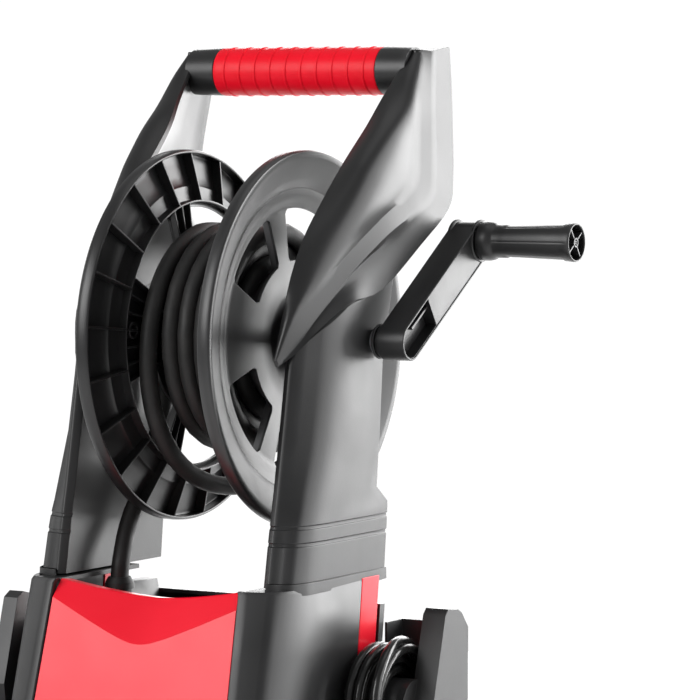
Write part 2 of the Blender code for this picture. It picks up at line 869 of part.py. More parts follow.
def make_hose_end():
    """The hose's outermost turn, which hangs slack under the winding and ends in its brass connector."""
    guides = []
    for angle, radius, along in SLACK:
        turn = math.radians(angle)
        guides.append(REEL + Vector((along, radius * math.cos(turn), radius * math.sin(turn))))
    route = smooth_route(guides, 40)
    tube("hose_end", route, HOSE_RADIUS, HOSE)
    last = route[-1]
    direction = (route[-1] - route[-2]).normalized()
    profile = [
        (0, 0.036),
        (0.0050, 0.036),
        (0.0055, 0.030),
        (0.0080, 0.029),
        (0.0085, 0.014),
        (0.0070, 0.013),
        (0.0070, 0),
        (0, 0),
    ]
    turned("hose_connector", profile, last + direction * GAP, direction, BRASS, 20)


# Lead hose from the body to the reel

GROMMET = (-0.063, REEL_Y - 0.062)
ELBOW_X = -0.066


def make_lead_hose():
    """The grommet in the deck, the swivel elbow on the reel axis, and the hose between them."""
    base = Vector((GROMMET[0], GROMMET[1], 0.4880))
    profile = [
        (0.0078, 0.0120),
        (0.0100, 0.0080),
        (0.0105, 0.0040),
        (0.0084, 0.0040),
        (0.0084, -0.0030),
        (0.0067, -0.0030),
        (0.0067, 0.0120),
    ]
    turned("hose_grommet", profile, base, Z_AXIS, RUBBER, 24, closed=True)
    top = REEL + Vector((ELBOW_X, 0, -0.0210))
    guides = [
        base + Vector((0, 0, -0.010)),
        base + Vector((0, 0, 0.001)),
        base + Vector((0, 0, 0.012)),
        base + Vector((0, 0.003, 0.026)),
        REEL + Vector((ELBOW_X, -0.045, -0.128)),
        REEL + Vector((ELBOW_X, -0.021, -0.095)),
        REEL + Vector((ELBOW_X, -0.002, -0.052)),
        top,
    ]
    tube("lead_hose", smooth_route(guides, 20), HOSE_RADIUS, HOSE)
    ends = [REEL + X_AXIS * (ELBOW_X - 0.0095), REEL + X_AXIS * (ELBOW_X + 0.0105)]
    elbow = rod("reel_elbow", *ends, 0.0105, BRASS, 24)
    join(elbow, rod("elbow_leg", REEL + X_AXIS * ELBOW_X, top + Z_AXIS * GAP, 0.0080, BRASS, 24))
    cut(elbow, rod("elbow_bore", REEL + X_AXIS * (ELBOW_X - 0.008), REEL, AXLE + 0.0003, BRASS, 24))


# Crank

ARM_INNER = 0.1137
ARM_OUTER = 0.1345
ARM_RADIUS = 0.0127
POCKET_HALF = 0.0107
POCKET_REACH = 0.035


def capsule(start, end, start_radius, end_radius, steps):
    """A rounded bar's outline in Y and Z around two centres."""
    run = math.degrees(math.atan2(end[1] - start[1], end[0] - start[0]))
    far_end = arc(end, end_radius, run - 90, run + 90, steps)
    return far_end + arc(start, start_radius, run + 90, run + 270, steps)


def make_crank():
    """The washer on the strut, the channel-shaped arm with its hub barrel, and the turning grip."""
    ring("crank_washer", REEL + X_AXIS * 0.1090, REEL + X_AXIS * 0.1108, 0.0122, AXLE + 0.0003, BLACK, 28)
    hub = (REEL_Y, REEL_Z)
    arm_outline = capsule(hub, CRANK_END, ARM_RADIUS, 0.0150, 8)
    arm = plate("crank_arm", arm_outline, "X", ARM_INNER, ARM_OUTER, BLACK)
    unit = (Vector(CRANK_END) - Vector(hub)).normalized()
    across = Vector((-unit[1], unit[0])) * POCKET_HALF
    end = Vector(hub) + unit * POCKET_REACH
    run = math.degrees(math.atan2(unit[1], unit[0]))
    outline = arc(hub, POCKET_HALF, run + 90, run + 270, 8) + [tuple(end - across), tuple(end + across)]
    cut(arm, plate("arm_pocket", outline, "X", ARM_INNER + 0.0120, ARM_OUTER + 0.01, BLACK))
    join(arm, rod("hub_barrel", REEL + X_AXIS * 0.1112, REEL + X_AXIS * (ARM_INNER + 0.005), 0.0110, BLACK))
    cut(arm, rod("hub_bore", REEL + X_AXIS * 0.10, REEL + X_AXIS * 0.1250, AXLE + 0.0003, BLACK, 20))
    end = Vector((0, *CRANK_END))
    cut(arm, rod("grip_bore", end + X_AXIS * 0.10, end + X_AXIS * 0.15, 0.0046, BLACK, 20))
    pin_profile = [
        (0, 0.0700),
        (0.0040, 0.0700),
        (0.0040, -0.0010),
        (0.0080, -0.0010),
        (0.0080, -0.0040),
        (0, -0.0040),
    ]
    turned("crank_pin", pin_profile, end + X_AXIS * (ARM_INNER - GAP), X_AXIS, STEEL, 20)
    grip_profile = [
        (0, 0.0735),
        (0.0130, 0.0735),
        (0.0135, 0.0715),
        (0.0135, 0.0620),
        (0.0125, 0.0600),
        (0.0122, 0.0110),
        (0.0150, 0.0090),
        (0.0150, 0.0030),
        (0.0110, 0.0015),
        (0.0110, 0),
        (0.0044, 0),
        (0.0044, 0.0560),
        (0, 0.0560),
    ]
    turned("crank_grip", grip_profile, end + X_AXIS * (ARM_OUTER + GAP), X_AXIS, BLACK)


# Cord hook, mains cord and plug

HANK_Y = 0.012
HANK_HALF = 0.042
HANK_TOP = 0.4610
HANK_BOTTOM = 0.2350
HANK_X = (0.1105, 0.1397)
HANK_CORE = 0.0195  # half width inside the turns
HOOK_INNER = 0.1082
HOOK_OUTER = 0.1600


def make_cord_hook():
    """The bracket that holds the wound cord: a rear plate, two saddles and an outer tab."""
    back = HANK_Y + HANK_HALF + 0.001
    low = 0.236
    high = 0.4715
    hook = box("cord_hook", (HOOK_INNER, back, low), (0.1480, back + 0.004, high), BLACK)
    foot_corner = (HOOK_INNER + 0.0018, back + 0.001, high)
    join(hook, box("hook_foot", (HOOK_INNER, 0.0335, low), foot_corner, BLACK))
    saddle_half = HANK_CORE - 0.001
    for level, up in ((HANK_TOP - HANK_HALF, 1), (HANK_BOTTOM + HANK_HALF, -1)):
        start = 0 if up > 0 else 180
        outline = arc((HANK_Y, level), saddle_half, start, start + 180, 8)
        flat = level - 0.012 * up
        outline += [(HANK_Y - saddle_half * up, flat), (HANK_Y + saddle_half * up, flat)]
        join(hook, plate("hook_saddle", outline, "X", HOOK_INNER, 0.1450, BLACK))
    tab = [
        (0.025, 0.2300),
        (0.0585, 0.2300),
        (0.0585, 0.4690),
        (0.049, 0.4800),
        (0.044, 0.4825),
        (0.030, 0.4840),
        (0.026, 0.4800),
        (0.010, 0.4240),
        (0.004, 0.3480),
        (0.010, 0.2740),
    ]
    join(hook, plate("hook_tab", tab, "X", 0.1425, HOOK_OUTER, BLACK))


def stadium(half, top, bottom, steps):
    upper = arc((HANK_Y, top - half), half, 0, 180, steps)
    lower = arc((HANK_Y, bottom + half), half, 180, 360, steps)
    return upper + lower


def make_cord():
    """The mains cord: its strain relief, the wound hank on the hook, the tail and the plug."""
    hank = plate("cord_hank", stadium(HANK_HALF, HANK_TOP, HANK_BOTTOM, 10), "X", *HANK_X, CABLE)
    core = stadium(HANK_CORE, HANK_TOP - HANK_HALF + HANK_CORE, HANK_BOTTOM + HANK_HALF - HANK_CORE, 10)
    cut(hank, plate("hank_core", core, "X", HANK_X[0] - 0.01, HANK_X[1] + 0.01, CABLE))
    gland = Vector(GLAND)
    relief_profile = [(0.0048, 0.026), (0.0085, 0.004), (0.0085, 0), (0.0040, 0), (0.0040, 0.026)]
    turned("cord_gland", relief_profile, gland, X_AXIS, RUBBER, 20, closed=True)
    tube("cord_lead", smooth_route(LEAD_GUIDES, 27), CORD_RADIUS, CABLE, 2)
    tube("cord_tail", smooth_route(TAIL_GUIDES, 16), CORD_RADIUS, CABLE, 2)
    end = Vector(TAIL_GUIDES[-1]) - Z_AXIS * 0.0004
    plug = rod("plug", end, end - Z_AXIS * 0.036, 0.0065, RUBBER, 20, 0.0175)
    join(plug, rod("plug_body", end - Z_AXIS * 0.0358, end - Z_AXIS * 0.052, 0.0180, RUBBER, 20))
    for x in (-0.0095, 0.0095):
        pin = end + Vector((0, x, -0.051))
        join(plug, rod("plug_pin", pin, pin - Z_AXIS * 0.020, 0.0024, RUBBER, 12))


GLAND = (0.1080, 0.010, 0.150)
LEAD_GUIDES = (
    (0.1085, 0.0100, 0.1500),
    (0.1225, 0.0100, 0.1500),
    (0.1365, 0.0100, 0.1500),
    (0.1520, 0.0095, 0.1535),
    (0.1660, 0.0070, 0.1640),
    (0.1740, 0.0020, 0.1820),
    (0.1745, -0.0040, 0.2000),
    (0.1680, -0.0090, 0.2150),
    (0.1560, -0.0100, 0.2250),
    (0.1440, -0.0040, 0.2300),
)
TAIL_GUIDES = (
    (0.1370, -0.0342, 0.3200),
    (0.1355, -0.0343, 0.2800),
    (0.1330, -0.0346, 0.2400),
    (0.1290, -0.0350, 0.1950),
)


# Gun, lance and their holder

GUN_X = -0.1890
GUN_Y = -0.030


def make_gun_holder():
    """The bracket on the left: a tab beside the casing, a shelf, and the cup that the lance stands in."""
    tab = [
        (-0.040, 0.3300),
        (0.006, 0.3300),
        (0.006, 0.4700),
        (0.000, 0.4770),
        (-0.026, 0.4830),
        (-0.033, 0.4790),
        (-0.050, 0.4200),
    ]
    holder = plate("gun_holder", tab, "X", -0.1640, -0.1520, BLACK)
    join(holder, box("holder_web", (-0.1530, -0.0100, 0.345), (-SIDE_HALF - 0.0014, 0.002, 0.462), BLACK))
    join(holder, box("holder_back", (-0.1135, -0.034, 0.345), (-SIDE_HALF - 0.0014, 0.002, 0.462), BLACK))
    shelf = box("holder_shelf", (-0.2060, GUN_Y - 0.020, 0.2140), (-0.1130, GUN_Y + 0.020, 0.2240), BLACK)
    join(holder, shelf)
    join(holder, box("holder_link", (-0.1250, -0.0100, 0.2200), (-0.1130, 0.002, 0.3460), BLACK))
    cut(holder, rod("lance_cup", (GUN_X, GUN_Y, 0.20), (GUN_X, GUN_Y, 0.24), 0.0110, BLACK, 24))


def make_gun():
    """The trigger gun hung nose down, with its trigger, safety lever, lance and turning nozzle."""
    barrel = [
        (-0.044, 0.2255),
        (-0.016, 0.2255),
        (-0.013, 0.2600),
        (-0.012, 0.3700),
        (-0.018, 0.3950),
        (-0.045, 0.4000),
        (-0.150, 0.4020),
        (-0.158, 0.3960),
        (-0.156, 0.3700),
        (-0.148, 0.3660),
        (-0.070, 0.3680),
        (-0.050, 0.3560),
        (-0.046, 0.3300),
    ]
    gun = plate("gun_body", barrel, "X", GUN_X - 0.016, GUN_X + 0.016, BLACK, 0.003)
    cut(gun, box("trigger_slot", (GUN_X - 0.0062, -0.0800, 0.30), (GUN_X + 0.0062, -0.0330, 0.3700), BLACK))
    lever = [
        (-0.0400, 0.3130),
        (-0.0475, 0.3050),
        (-0.0560, 0.3080),
        (-0.0680, 0.3200),
        (-0.1280, 0.3180),
        (-0.1310, 0.3250),
        (-0.0700, 0.3330),
        (-0.0440, 0.3330),
    ]
    plate("gun_trigger", lever, "X", GUN_X - 0.0055, GUN_X + 0.0055, RED, 0.0015)
    rod("gun_lance", (GUN_X, GUN_Y, 0.2250), (GUN_X, GUN_Y, 0.0800), 0.0075, STEEL, 20)
    nozzle_profile = [
        (0, 0.050),
        (0.0090, 0.050),
        (0.0125, 0.044),
        (0.0135, 0.008),
        (0.0115, 0),
        (0, 0),
    ]
    turned("lance_nozzle", nozzle_profile, (GUN_X, GUN_Y, 0.0295), Z_AXIS, BLACK, 24)


# Detergent tank

TANK_Z = (0.215, 0.345)


def make_tank():
    """The detergent tank on the rear casing and its hinged filler cap."""
    rings = []
    for z in (TANK_Z[0], TANK_Z[1]):
        y = back_y(z) + 0.0008
        rings.append([(-0.068, y, z), (0.068, y, z), (0.060, y + 0.052, z), (-0.060, y + 0.052, z)])
    tank = loft("detergent_tank", rings, TANK)
    top = Vector((0, back_y(TANK_Z[1]) + 0.027, TANK_Z[1]))
    join(tank, rod("tank_neck", top - Z_AXIS * 0.004, top + Z_AXIS * 0.010, 0.0150, TANK, 24))
    profile = [
        (0, 0.0190),
        (0.0170, 0.0190),
        (0.0185, 0.0170),
        (0.0185, 0.0030),
        (0.0155, 0.0030),
        (0.0155, 0.0110),
        (0, 0.0110),
    ]
    turned("detergent_cap", profile, top, Z_AXIS, BLACK, 24)


def make_everything():
    both_sides(make_casing)
    both_sides(make_side_trim)
    make_rear_casing()
    make_front_panel()
    make_lower_cover()
    make_top_deck()
    make_switch()
    make_water_inlet()
    make_motor()
    make_pump()
    make_base()
    both_sides(make_foot)
    both_sides(make_wheel)
    make_axle()
    both_sides(make_strut)
    both_sides(make_blade)
    make_handle()
    both_sides(make_flange)
    make_reel_core()
    make_hose_end()
    make_lead_hose()
    make_crank()
    make_cord_hook()
    make_cord()
    make_gun_holder()
    make_gun()
    make_tank()


make_everything()
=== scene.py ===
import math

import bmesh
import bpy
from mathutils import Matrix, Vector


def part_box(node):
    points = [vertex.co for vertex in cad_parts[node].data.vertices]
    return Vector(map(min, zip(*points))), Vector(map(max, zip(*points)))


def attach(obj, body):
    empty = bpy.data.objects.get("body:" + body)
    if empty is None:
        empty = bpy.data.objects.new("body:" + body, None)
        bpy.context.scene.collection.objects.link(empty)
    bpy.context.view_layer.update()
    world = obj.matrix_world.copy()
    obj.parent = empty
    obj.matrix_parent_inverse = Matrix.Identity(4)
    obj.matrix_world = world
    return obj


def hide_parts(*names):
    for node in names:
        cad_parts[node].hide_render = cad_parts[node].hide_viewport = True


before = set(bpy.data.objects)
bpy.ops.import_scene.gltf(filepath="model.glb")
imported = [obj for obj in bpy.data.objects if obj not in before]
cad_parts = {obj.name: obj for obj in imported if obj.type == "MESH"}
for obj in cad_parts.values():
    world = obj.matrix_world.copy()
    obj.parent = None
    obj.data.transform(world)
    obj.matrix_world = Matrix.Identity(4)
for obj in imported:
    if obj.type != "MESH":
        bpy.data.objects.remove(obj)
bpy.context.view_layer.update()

# The pressure washer's looks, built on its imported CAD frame.
#
# Metres, +Z up. The red front panel faces -Y and the crank is on +X. Most shapes are given from the
# middle of the reel, REEL, and the left side's pieces are the right side's mirrored in X.


def middle_of(node):
    low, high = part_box(node)
    return (Vector(low) + Vector(high)) / 2


REEL = middle_of("reel_drum")
X_AXIS = Vector((1, 0, 0))
Y_AXIS = Vector((0, 1, 0))
Z_AXIS = Vector((0, 0, 1))
SMOOTH_ANGLE = math.radians(34)
WELD = 1e-6

# Body of the machine, in world metres (the same lines as its CAD casings)
BODY_TOP = 0.5045
FRONT_LEAN = 0.262
PILLAR = 0.010


def front_y(z):
    return -0.101 - FRONT_LEAN * (BODY_TOP - z)


def front_half(z):
    return 0.0835 + 0.042 * (BODY_TOP - z)


def trim_y(z):
    return 0.005 - 0.12 * (BODY_TOP - z)


# Camera, lights and floor


def link(made):
    bpy.context.scene.collection.objects.link(made)
    return made


def set_sockets(node, values):
    """Sets a shader node's sockets by name. An underscore in a name stands for a space."""
    for socket, value in values.items():
        node.inputs[socket.replace("_", " ")].default_value = value


def add_node(tree, kind, **values):
    made = tree.nodes.new(f"ShaderNode{kind}")
    set_sockets(made, values)
    return made


VIEW_AZIMUTH = math.radians(30.25)
VIEW_ELEVATION = math.radians(3.45)
VIEW_DISTANCE = 2.611
VIEW_MIDDLE = Vector((0.0856, 0, -0.0067))
LENS = 196.15
SEEN_STRENGTH = 1.05
FILL_STRENGTH = 0.30
FLOOR_RADIUS = 3.2


def make_camera():
    level = math.cos(VIEW_ELEVATION)
    sideways = math.sin(VIEW_AZIMUTH) * level
    back = Vector((sideways, -math.cos(VIEW_AZIMUTH) * level, math.sin(VIEW_ELEVATION)))
    data = bpy.data.cameras.new("camera")
    data.sensor_width = 36
    data.lens = LENS
    data.clip_end = 50
    camera = link(bpy.data.objects.new("camera", data))
    camera.location = REEL + VIEW_MIDDLE + back * VIEW_DISTANCE
    camera.rotation_mode = "QUATERNION"
    camera.rotation_quaternion = (-back).to_track_quat("-Z", "Y")
    bpy.context.scene.camera = camera


def softbox(name, place, target, width, height, radiance):
    data = bpy.data.lights.new(name, "AREA")
    data.shape = "RECTANGLE"
    data.size = width
    data.size_y = height
    data.energy = radiance * math.pi * width * height
    light = link(bpy.data.objects.new(name, data))
    light.location = place
    direction = Vector(target) - Vector(place)
    light.rotation_euler = direction.to_track_quat("-Z", "Y").to_euler()
    light.visible_camera = False


def compass(bearing, distance, height):
    """A place at a bearing from +X towards +Y, in degrees, round the machine."""
    turn = math.radians(bearing)
    return (distance * math.cos(turn), distance * math.sin(turn), height)


def make_lights():
    heart = (0, 0, 0.62)
    softbox("key_rear_right", compass(54, 2.7, 1.33), (0, 0, 0.80), 1.3, 2.1, 11.5)
    softbox("right_side", compass(14, 2.8, 1.2), heart, 2.1, 2.2, 2.6)
    softbox("rear_right", compass(80, 2.8, 1.30), heart, 1.05, 2.3, 3.6)
    softbox("backdrop_light", compass(108, 3.0, 1.2), heart, 1.9, 2.4, 5.5)
    softbox("front_left", compass(243, 2.6, 1.75), heart, 1.9, 1.5, 6.0)
    softbox("left_side", compass(185, 2.6, 1.0), heart, 0.8, 1.8, 1.6)
    softbox("overhead", (0.2, 0.3, 3.0), heart, 2.0, 1.4, 0.6)


def make_world():
    """White to the camera, and a dimmer grey as a source of light."""
    bpy.context.scene.view_settings.view_transform = "Standard"
    world = bpy.data.worlds.new("studio")
    bpy.context.scene.world = world
    world.use_nodes = True
    tree = world.node_tree
    tree.nodes.clear()
    out = add_node(tree, "OutputWorld")
    mix = add_node(tree, "MixShader")
    path = add_node(tree, "LightPath")
    seen = add_node(tree, "Background", Color=(1, 1, 1, 1), Strength=SEEN_STRENGTH)
    fill = add_node(tree, "Background", Color=(1, 1, 1, 1), Strength=FILL_STRENGTH)
    tree.links.new(path.outputs["Is Camera Ray"], mix.inputs["Fac"])
    tree.links.new(fill.outputs["Background"], mix.inputs[1])
    tree.links.new(seen.outputs["Background"], mix.inputs[2])
    tree.links.new(mix.outputs["Shader"], out.inputs["Surface"])


def make_floor():
    shape = bmesh.new()
    bmesh.ops.create_circle(shape, cap_ends=True, segments=96, radius=FLOOR_RADIUS)
    mesh = bpy.data.meshes.new("floor")
    shape.to_mesh(mesh)
    shape.free()
    floor = link(bpy.data.objects.new("floor", mesh))
    mesh.materials.append(plain_material("studio_floor", (0.86, 0.86, 0.86), 0.6))


def plain_material(name, colour, roughness):
    made = bpy.data.materials.new(name)
    made.use_nodes = True
    shader = made.node_tree.nodes["Principled BSDF"]
    shader.inputs["Base Color"].default_value = (*colour, 1)
    shader.inputs["Roughness"].default_value = roughness
    return made


# Materials


class Look:
    """A procedural material on the Principled shader, built up by its methods."""

    def __init__(self, name, metallic=0.0, **settings):
        self.material = bpy.data.materials.new(name)
        self.material.use_nodes = True
        self.tree = self.material.node_tree
        self.join = self.tree.links.new
        self.shader = self.tree.nodes["Principled BSDF"]
        set_sockets(self.shader, {"Metallic": metallic, **settings})
        self.place = add_node(self.tree, "TexCoord").outputs["Object"]

    def noise(self, size, detail=2.0, stretch=(1, 1, 1)):
        """Soft noise whose blobs are about size metres across."""
        mapping = add_node(self.tree, "Mapping", Scale=stretch)
        self.join(self.place, mapping.inputs["Vector"])
        noise = add_node(self.tree, "TexNoise", Scale=1 / size, Detail=detail)
        self.join(mapping.outputs["Vector"], noise.inputs["Vector"])
        return noise.outputs["Fac"]

    def spread(self, value, low, high, start=0.3, end=0.7):
        limits = {"From_Min": start, "From_Max": end, "To_Min": low, "To_Max": high}
        ranged = add_node(self.tree, "MapRange", **limits)
        self.join(value, ranged.inputs["Value"])
        return ranged.outputs["Result"]

    def roughness(self, low, high, size=0.02):
        rough = self.spread(self.noise(size, 3), low, high)
        self.join(rough, self.shader.inputs["Roughness"])
        return self

    def colour(self, first, second, size=0.03, stretch=(1, 1, 1)):
        """Two tones in a soft mottle."""
        ramp = add_node(self.tree, "ValToRGB")
        ends = ramp.color_ramp.elements
        for end, position, tone in zip(ends, (0.35, 0.68), (first, second)):
            end.position = position
            end.color = (*tone, 1)
        self.join(self.noise(size, 4, stretch), ramp.inputs["Fac"])
        self.tone = ramp.outputs["Color"]
        self.join(self.tone, self.shader.inputs["Base Color"])
        return self

    def painted_edge_highlights(self, tint, amount):
        """Sharp outer edges a little lighter: a painted highlight along them, where light would catch
        the edges.
        """
        geometry = add_node(self.tree, "NewGeometry")
        # Pointiness picks out the sharp edges that get the painted highlight.
        edge = self.spread(geometry.outputs["Pointiness"], 0, amount, 0.52, 0.62)
        mix = add_node(self.tree, "Mix")
        mix.data_type = "RGBA"
        self.join(edge, mix.inputs["Factor"])
        self.join(self.tone, mix.inputs["A"])
        mix.inputs["B"].default_value = (*tint, 1)
        self.join(mix.outputs["Result"], self.shader.inputs["Base Color"])
        return self

    def grain(self, size, depth, strength=0.5, stretch=(1, 1, 1)):
        """A fine bump, depth metres deep."""
        height = self.noise(size, 2, stretch)
        bump = add_node(self.tree, "Bump", Strength=strength, Distance=depth)
        self.join(height, bump.inputs["Height"])
        self.join(bump.outputs["Normal"], self.shader.inputs["Normal"])
        return self


def make_materials():
    looks = {}

    def keep(key, look):
        looks[key] = look.material

    black = Look("satin_black_plastic", Specular_IOR_Level=0.55)
    black.colour((0.011, 0.011, 0.0115), (0.015, 0.015, 0.0155), 0.05)
    # Painted highlight: sharp edges lightened towards grey 0.06, up to 0.55 of the way.
    black.painted_edge_highlights((0.06, 0.06, 0.062), 0.55)
    keep("black", black.roughness(0.36, 0.43, 0.03).grain(0.0011, 0.00012, 0.25))
    blade = Look("blade_black_plastic", Specular_IOR_Level=0.55)
    blade.colour((0.010, 0.010, 0.0105), (0.013, 0.013, 0.0135), 0.06)
    keep("blade", blade.roughness(0.33, 0.38, 0.04).grain(0.0012, 0.0001, 0.15))
    reel = Look("reel_black_plastic", Specular_IOR_Level=0.55)
    reel.colour((0.011, 0.011, 0.0115), (0.015, 0.015, 0.0155), 0.04)
    # Painted highlight: sharp edges lightened towards pale grey 0.16, for the thin light lines round the
    # windows and rims.
    reel.painted_edge_highlights((0.16, 0.16, 0.165), 0.8)
    keep("reel", reel.roughness(0.30, 0.37, 0.03).grain(0.0014, 0.0001, 0.18))
    red = Look("red_plastic", Coat_Weight=0.1, Coat_Roughness=0.18, Specular_IOR_Level=0.4)
    red.colour((0.93, 0.0040, 0.022), (0.97, 0.0050, 0.026), 0.05)
    keep("red", red.roughness(0.30, 0.36, 0.03).grain(0.0012, 0.0001, 0.12))
    grip = Look("grip_red_rubber", Specular_IOR_Level=0.22)
    grip.colour((0.92, 0.0030, 0.018), (0.97, 0.0040, 0.022), 0.02)
    keep("grip", grip.roughness(0.36, 0.44, 0.01).grain(0.0009, 0.00015, 0.3))
    rubber = Look("black_rubber", Specular_IOR_Level=0.4)
    rubber.colour((0.010, 0.010, 0.010), (0.016, 0.016, 0.016), 0.01)
    keep("rubber", rubber.roughness(0.5, 0.62, 0.006).grain(0.0008, 0.0002, 0.4))
    tyre = Look("tyre_rubber", Specular_IOR_Level=0.35)
    tyre.colour((0.011, 0.011, 0.011), (0.022, 0.021, 0.020), 0.012)
    keep("tyre", tyre.roughness(0.58, 0.75, 0.008).grain(0.0012, 0.0003, 0.5))
    hose = Look("hose_rubber", Specular_IOR_Level=0.38)
    hose.colour((0.011, 0.011, 0.011), (0.019, 0.018, 0.0175), 0.02)
    keep("hose", hose.roughness(0.50, 0.62, 0.012).grain(0.0013, 0.0003, 0.4))
    cable = Look("cable_sheath", Specular_IOR_Level=0.6)
    cable.colour((0.009, 0.009, 0.009), (0.014, 0.014, 0.014), 0.01)
    keep("cable", cable.roughness(0.16, 0.26, 0.01).grain(0.0030, 0.0003, 0.25))
    steel = Look("zinc_plated_steel", 1.0)
    steel.colour((0.50, 0.50, 0.52), (0.62, 0.62, 0.63), 0.008, (1, 1, 0.2))
    keep("steel", steel.roughness(0.22, 0.36, 0.004).grain(0.0006, 0.00005, 0.3, (1, 1, 0.1)))
    brass = Look("brass", 1.0)
    brass.colour((0.56, 0.37, 0.13), (0.70, 0.49, 0.20), 0.006)
    keep("brass", brass.roughness(0.20, 0.34, 0.004).grain(0.0005, 0.00004, 0.3))
    cast = Look("cast_aluminium", 1.0)
    cast.colour((0.46, 0.46, 0.47), (0.62, 0.62, 0.62), 0.01)
    keep("cast", cast.roughness(0.42, 0.6, 0.004).grain(0.0009, 0.0002, 0.6))
    grey = Look("grey_plastic", Specular_IOR_Level=0.5)
    grey.colour((0.15, 0.15, 0.16), (0.19, 0.19, 0.20), 0.02)
    keep("grey", grey.roughness(0.40, 0.5, 0.01).grain(0.001, 0.0001, 0.3))
    tank = Look("natural_polythene", Subsurface_Weight=0.35, Subsurface_Scale=0.01)
    tank.colour((0.27, 0.27, 0.26), (0.33, 0.33, 0.31), 0.03)
    keep("tank", tank.roughness(0.34, 0.46, 0.01).grain(0.004, 0.0004, 0.25))
    return looks


# Piece helpers


def make_piece(name, data, look, body, nodes=()):
    """A mesh or a curve as a piece that rides on a body and stands for the CAD nodes given."""
    made = link(bpy.data.objects.new(name, data))
    data.materials.clear()
    data.materials.append(LOOKS[look])
    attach(made, body)
    if nodes:
        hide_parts(*nodes)
    return made


def bevelled(made, width, segments=2, angle=30):
    rounding = made.modifiers.new("bevel", "BEVEL")
    rounding.width = width
    rounding.segments = segments
    rounding.limit_method = "ANGLE"
    rounding.angle_limit = math.radians(angle)
    rounding.harden_normals = True


def copied(node):
    """The CAD node's mesh, welded, to be worked on."""
    shape = bmesh.new()
    shape.from_mesh(bpy.data.objects[node].data)
    bmesh.ops.remove_doubles(shape, verts=shape.verts, dist=WELD)
    return shape


def smooth_mesh(name, shape, smooth_angle=SMOOTH_ANGLE):
    made = bpy.data.meshes.new(name)
    shape.to_mesh(made)
    shape.free()
    made.shade_smooth()
    made.set_sharp_from_angle(angle=smooth_angle)
    return made


def refined(node, look, body, bevel):
    """The CAD node again with its flat faces merged and its edges rounded."""
    shape = copied(node)
    bmesh.ops.dissolve_limit(shape, angle_limit=math.radians(1.0), verts=shape.verts, edges=shape.edges)
    made = make_piece(f"{node}_finish", smooth_mesh(node, shape), look, body, [node])
    if bevel:
        bevelled(made, bevel)


class Shape:
    """Gathers closed shells into one mesh. Points are in metres from the origin given."""

    def __init__(self, origin=(0, 0, 0)):
        self.bm = bmesh.new()
        self.origin = Vector(origin)

    def vert(self, point):
        return self.bm.verts.new(self.origin + Vector(point))

    def grid(self, rows, closed=False, cap=True):
        """Quads over rows of points; closed joins each row's ends, and cap fills the first and last."""
        made = [[self.vert(point) for point in row] for row in rows]
        count = len(made[0])
        last = count if closed else count - 1
        for below, above in zip(made, made[1:]):
            for i in range(last):
                j = (i + 1) % count
                self.bm.faces.new((below[i], below[j], above[j], above[i]))
        if closed and cap:
            self.bm.faces.new(list(reversed(made[0])))
            self.bm.faces.new(made[-1])
        return made

    def prism(self, outline, place, depth):
        """An outline of (u, v) points run through place(u, v, w) for each w in depth."""
        self.grid([[place(u, v, w) for u, v in outline] for w in depth], closed=True)

    def turned(self, profile, sides, centre=(0, 0, 0), axis=X_AXIS, wave=None):
        """A closed shell from (radius, height) points turned about an axis.

        wave(turn, radius, height) moves them, and a profile that ends where it starts makes a ring.
        """
        turned_axes = Vector(axis).normalized().to_track_quat("Z", "Y").to_matrix()
        centre = Vector(centre)
        rows = []
        for radius, height in profile:
            row = []
            for i in range(sides):
                turn = 2 * math.pi * i / sides
                r, h = wave(turn, radius, height) if wave else (radius, height)
                row.append(centre + turned_axes @ Vector((r * math.cos(turn), r * math.sin(turn), h)))
            rows.append(row)
        ring = profile[0] == profile[-1]
        made = self.grid(rows, closed=True, cap=not ring)
        if ring:
            for first, final in zip(made[0], made[-1]):
                bmesh.ops.pointmerge(self.bm, verts=[first, final], merge_co=first.co)

    def mesh(self, name, mirror, smooth_angle):
        bmesh.ops.remove_doubles(self.bm, verts=self.bm.verts, dist=WELD)
        if mirror:
            for vert in self.bm.verts:
                vert.co.x = -vert.co.x
        bmesh.ops.recalc_face_normals(self.bm, faces=self.bm.faces)
        return smooth_mesh(name, self.bm, smooth_angle)

    def piece(self, name, look, body, nodes=(), bevel=(), mirror=False, smooth_angle=SMOOTH_ANGLE):
        """The finished mesh as a piece. bevel is its width, segments and angle."""
        made = make_piece(name, self.mesh(name, mirror, smooth_angle), look, body, nodes)
        if bevel:
            bevelled(made, *bevel)
        return made


def curve_through(guides, count):
    """Points of one smooth curve through the guides."""
    guides = [Vector(guide) for guide in guides]
    padded = [2 * guides[0] - guides[1], *guides, 2 * guides[-1] - guides[-2]]
    spans = len(guides) - 1
    found = []
    for step in range(count + 1):
        along = spans * step / count
        span = min(int(along), spans - 1)
        t = along - span
        a, b, c, d = padded[span : span + 4]
        square = (2 * a - 5 * b + 4 * c - d) * t**2
        cube = (3 * b - a - 3 * c + d) * t**3
        found.append(0.5 * (2 * b + (c - a) * t + square + cube))
    return found


def bend(first, pull, last, steps):
    """Points of a smooth bend from first to last, both included, drawn towards pull."""
    found = []
    for i in range(steps + 1):
        u = i / steps
        found.append(first * (1 - u) ** 2 + pull * 2 * u * (1 - u) + last * u**2)
    return found


def smooth_step(t):
    t = min(max(t, 0.0), 1.0)
    return t * t * (3 - 2 * t)


def cord_curve(name, route, diameter, look, body, nodes):
    data = bpy.data.curves.new(name, "CURVE")
    data.dimensions = "3D"
    data.bevel_depth = diameter / 2
    data.bevel_resolution = 4
    data.use_fill_caps = True
    spline = data.splines.new("POLY")
    spline.points.add(len(route) - 1)
    for point, place in zip(spline.points, route):
        point.co = (*place, 1)
    spline.use_smooth = True
    return make_piece(name, data, look, body, nodes)


# Mains cord: out of its gland, round the hook in a hank, and down to its plug

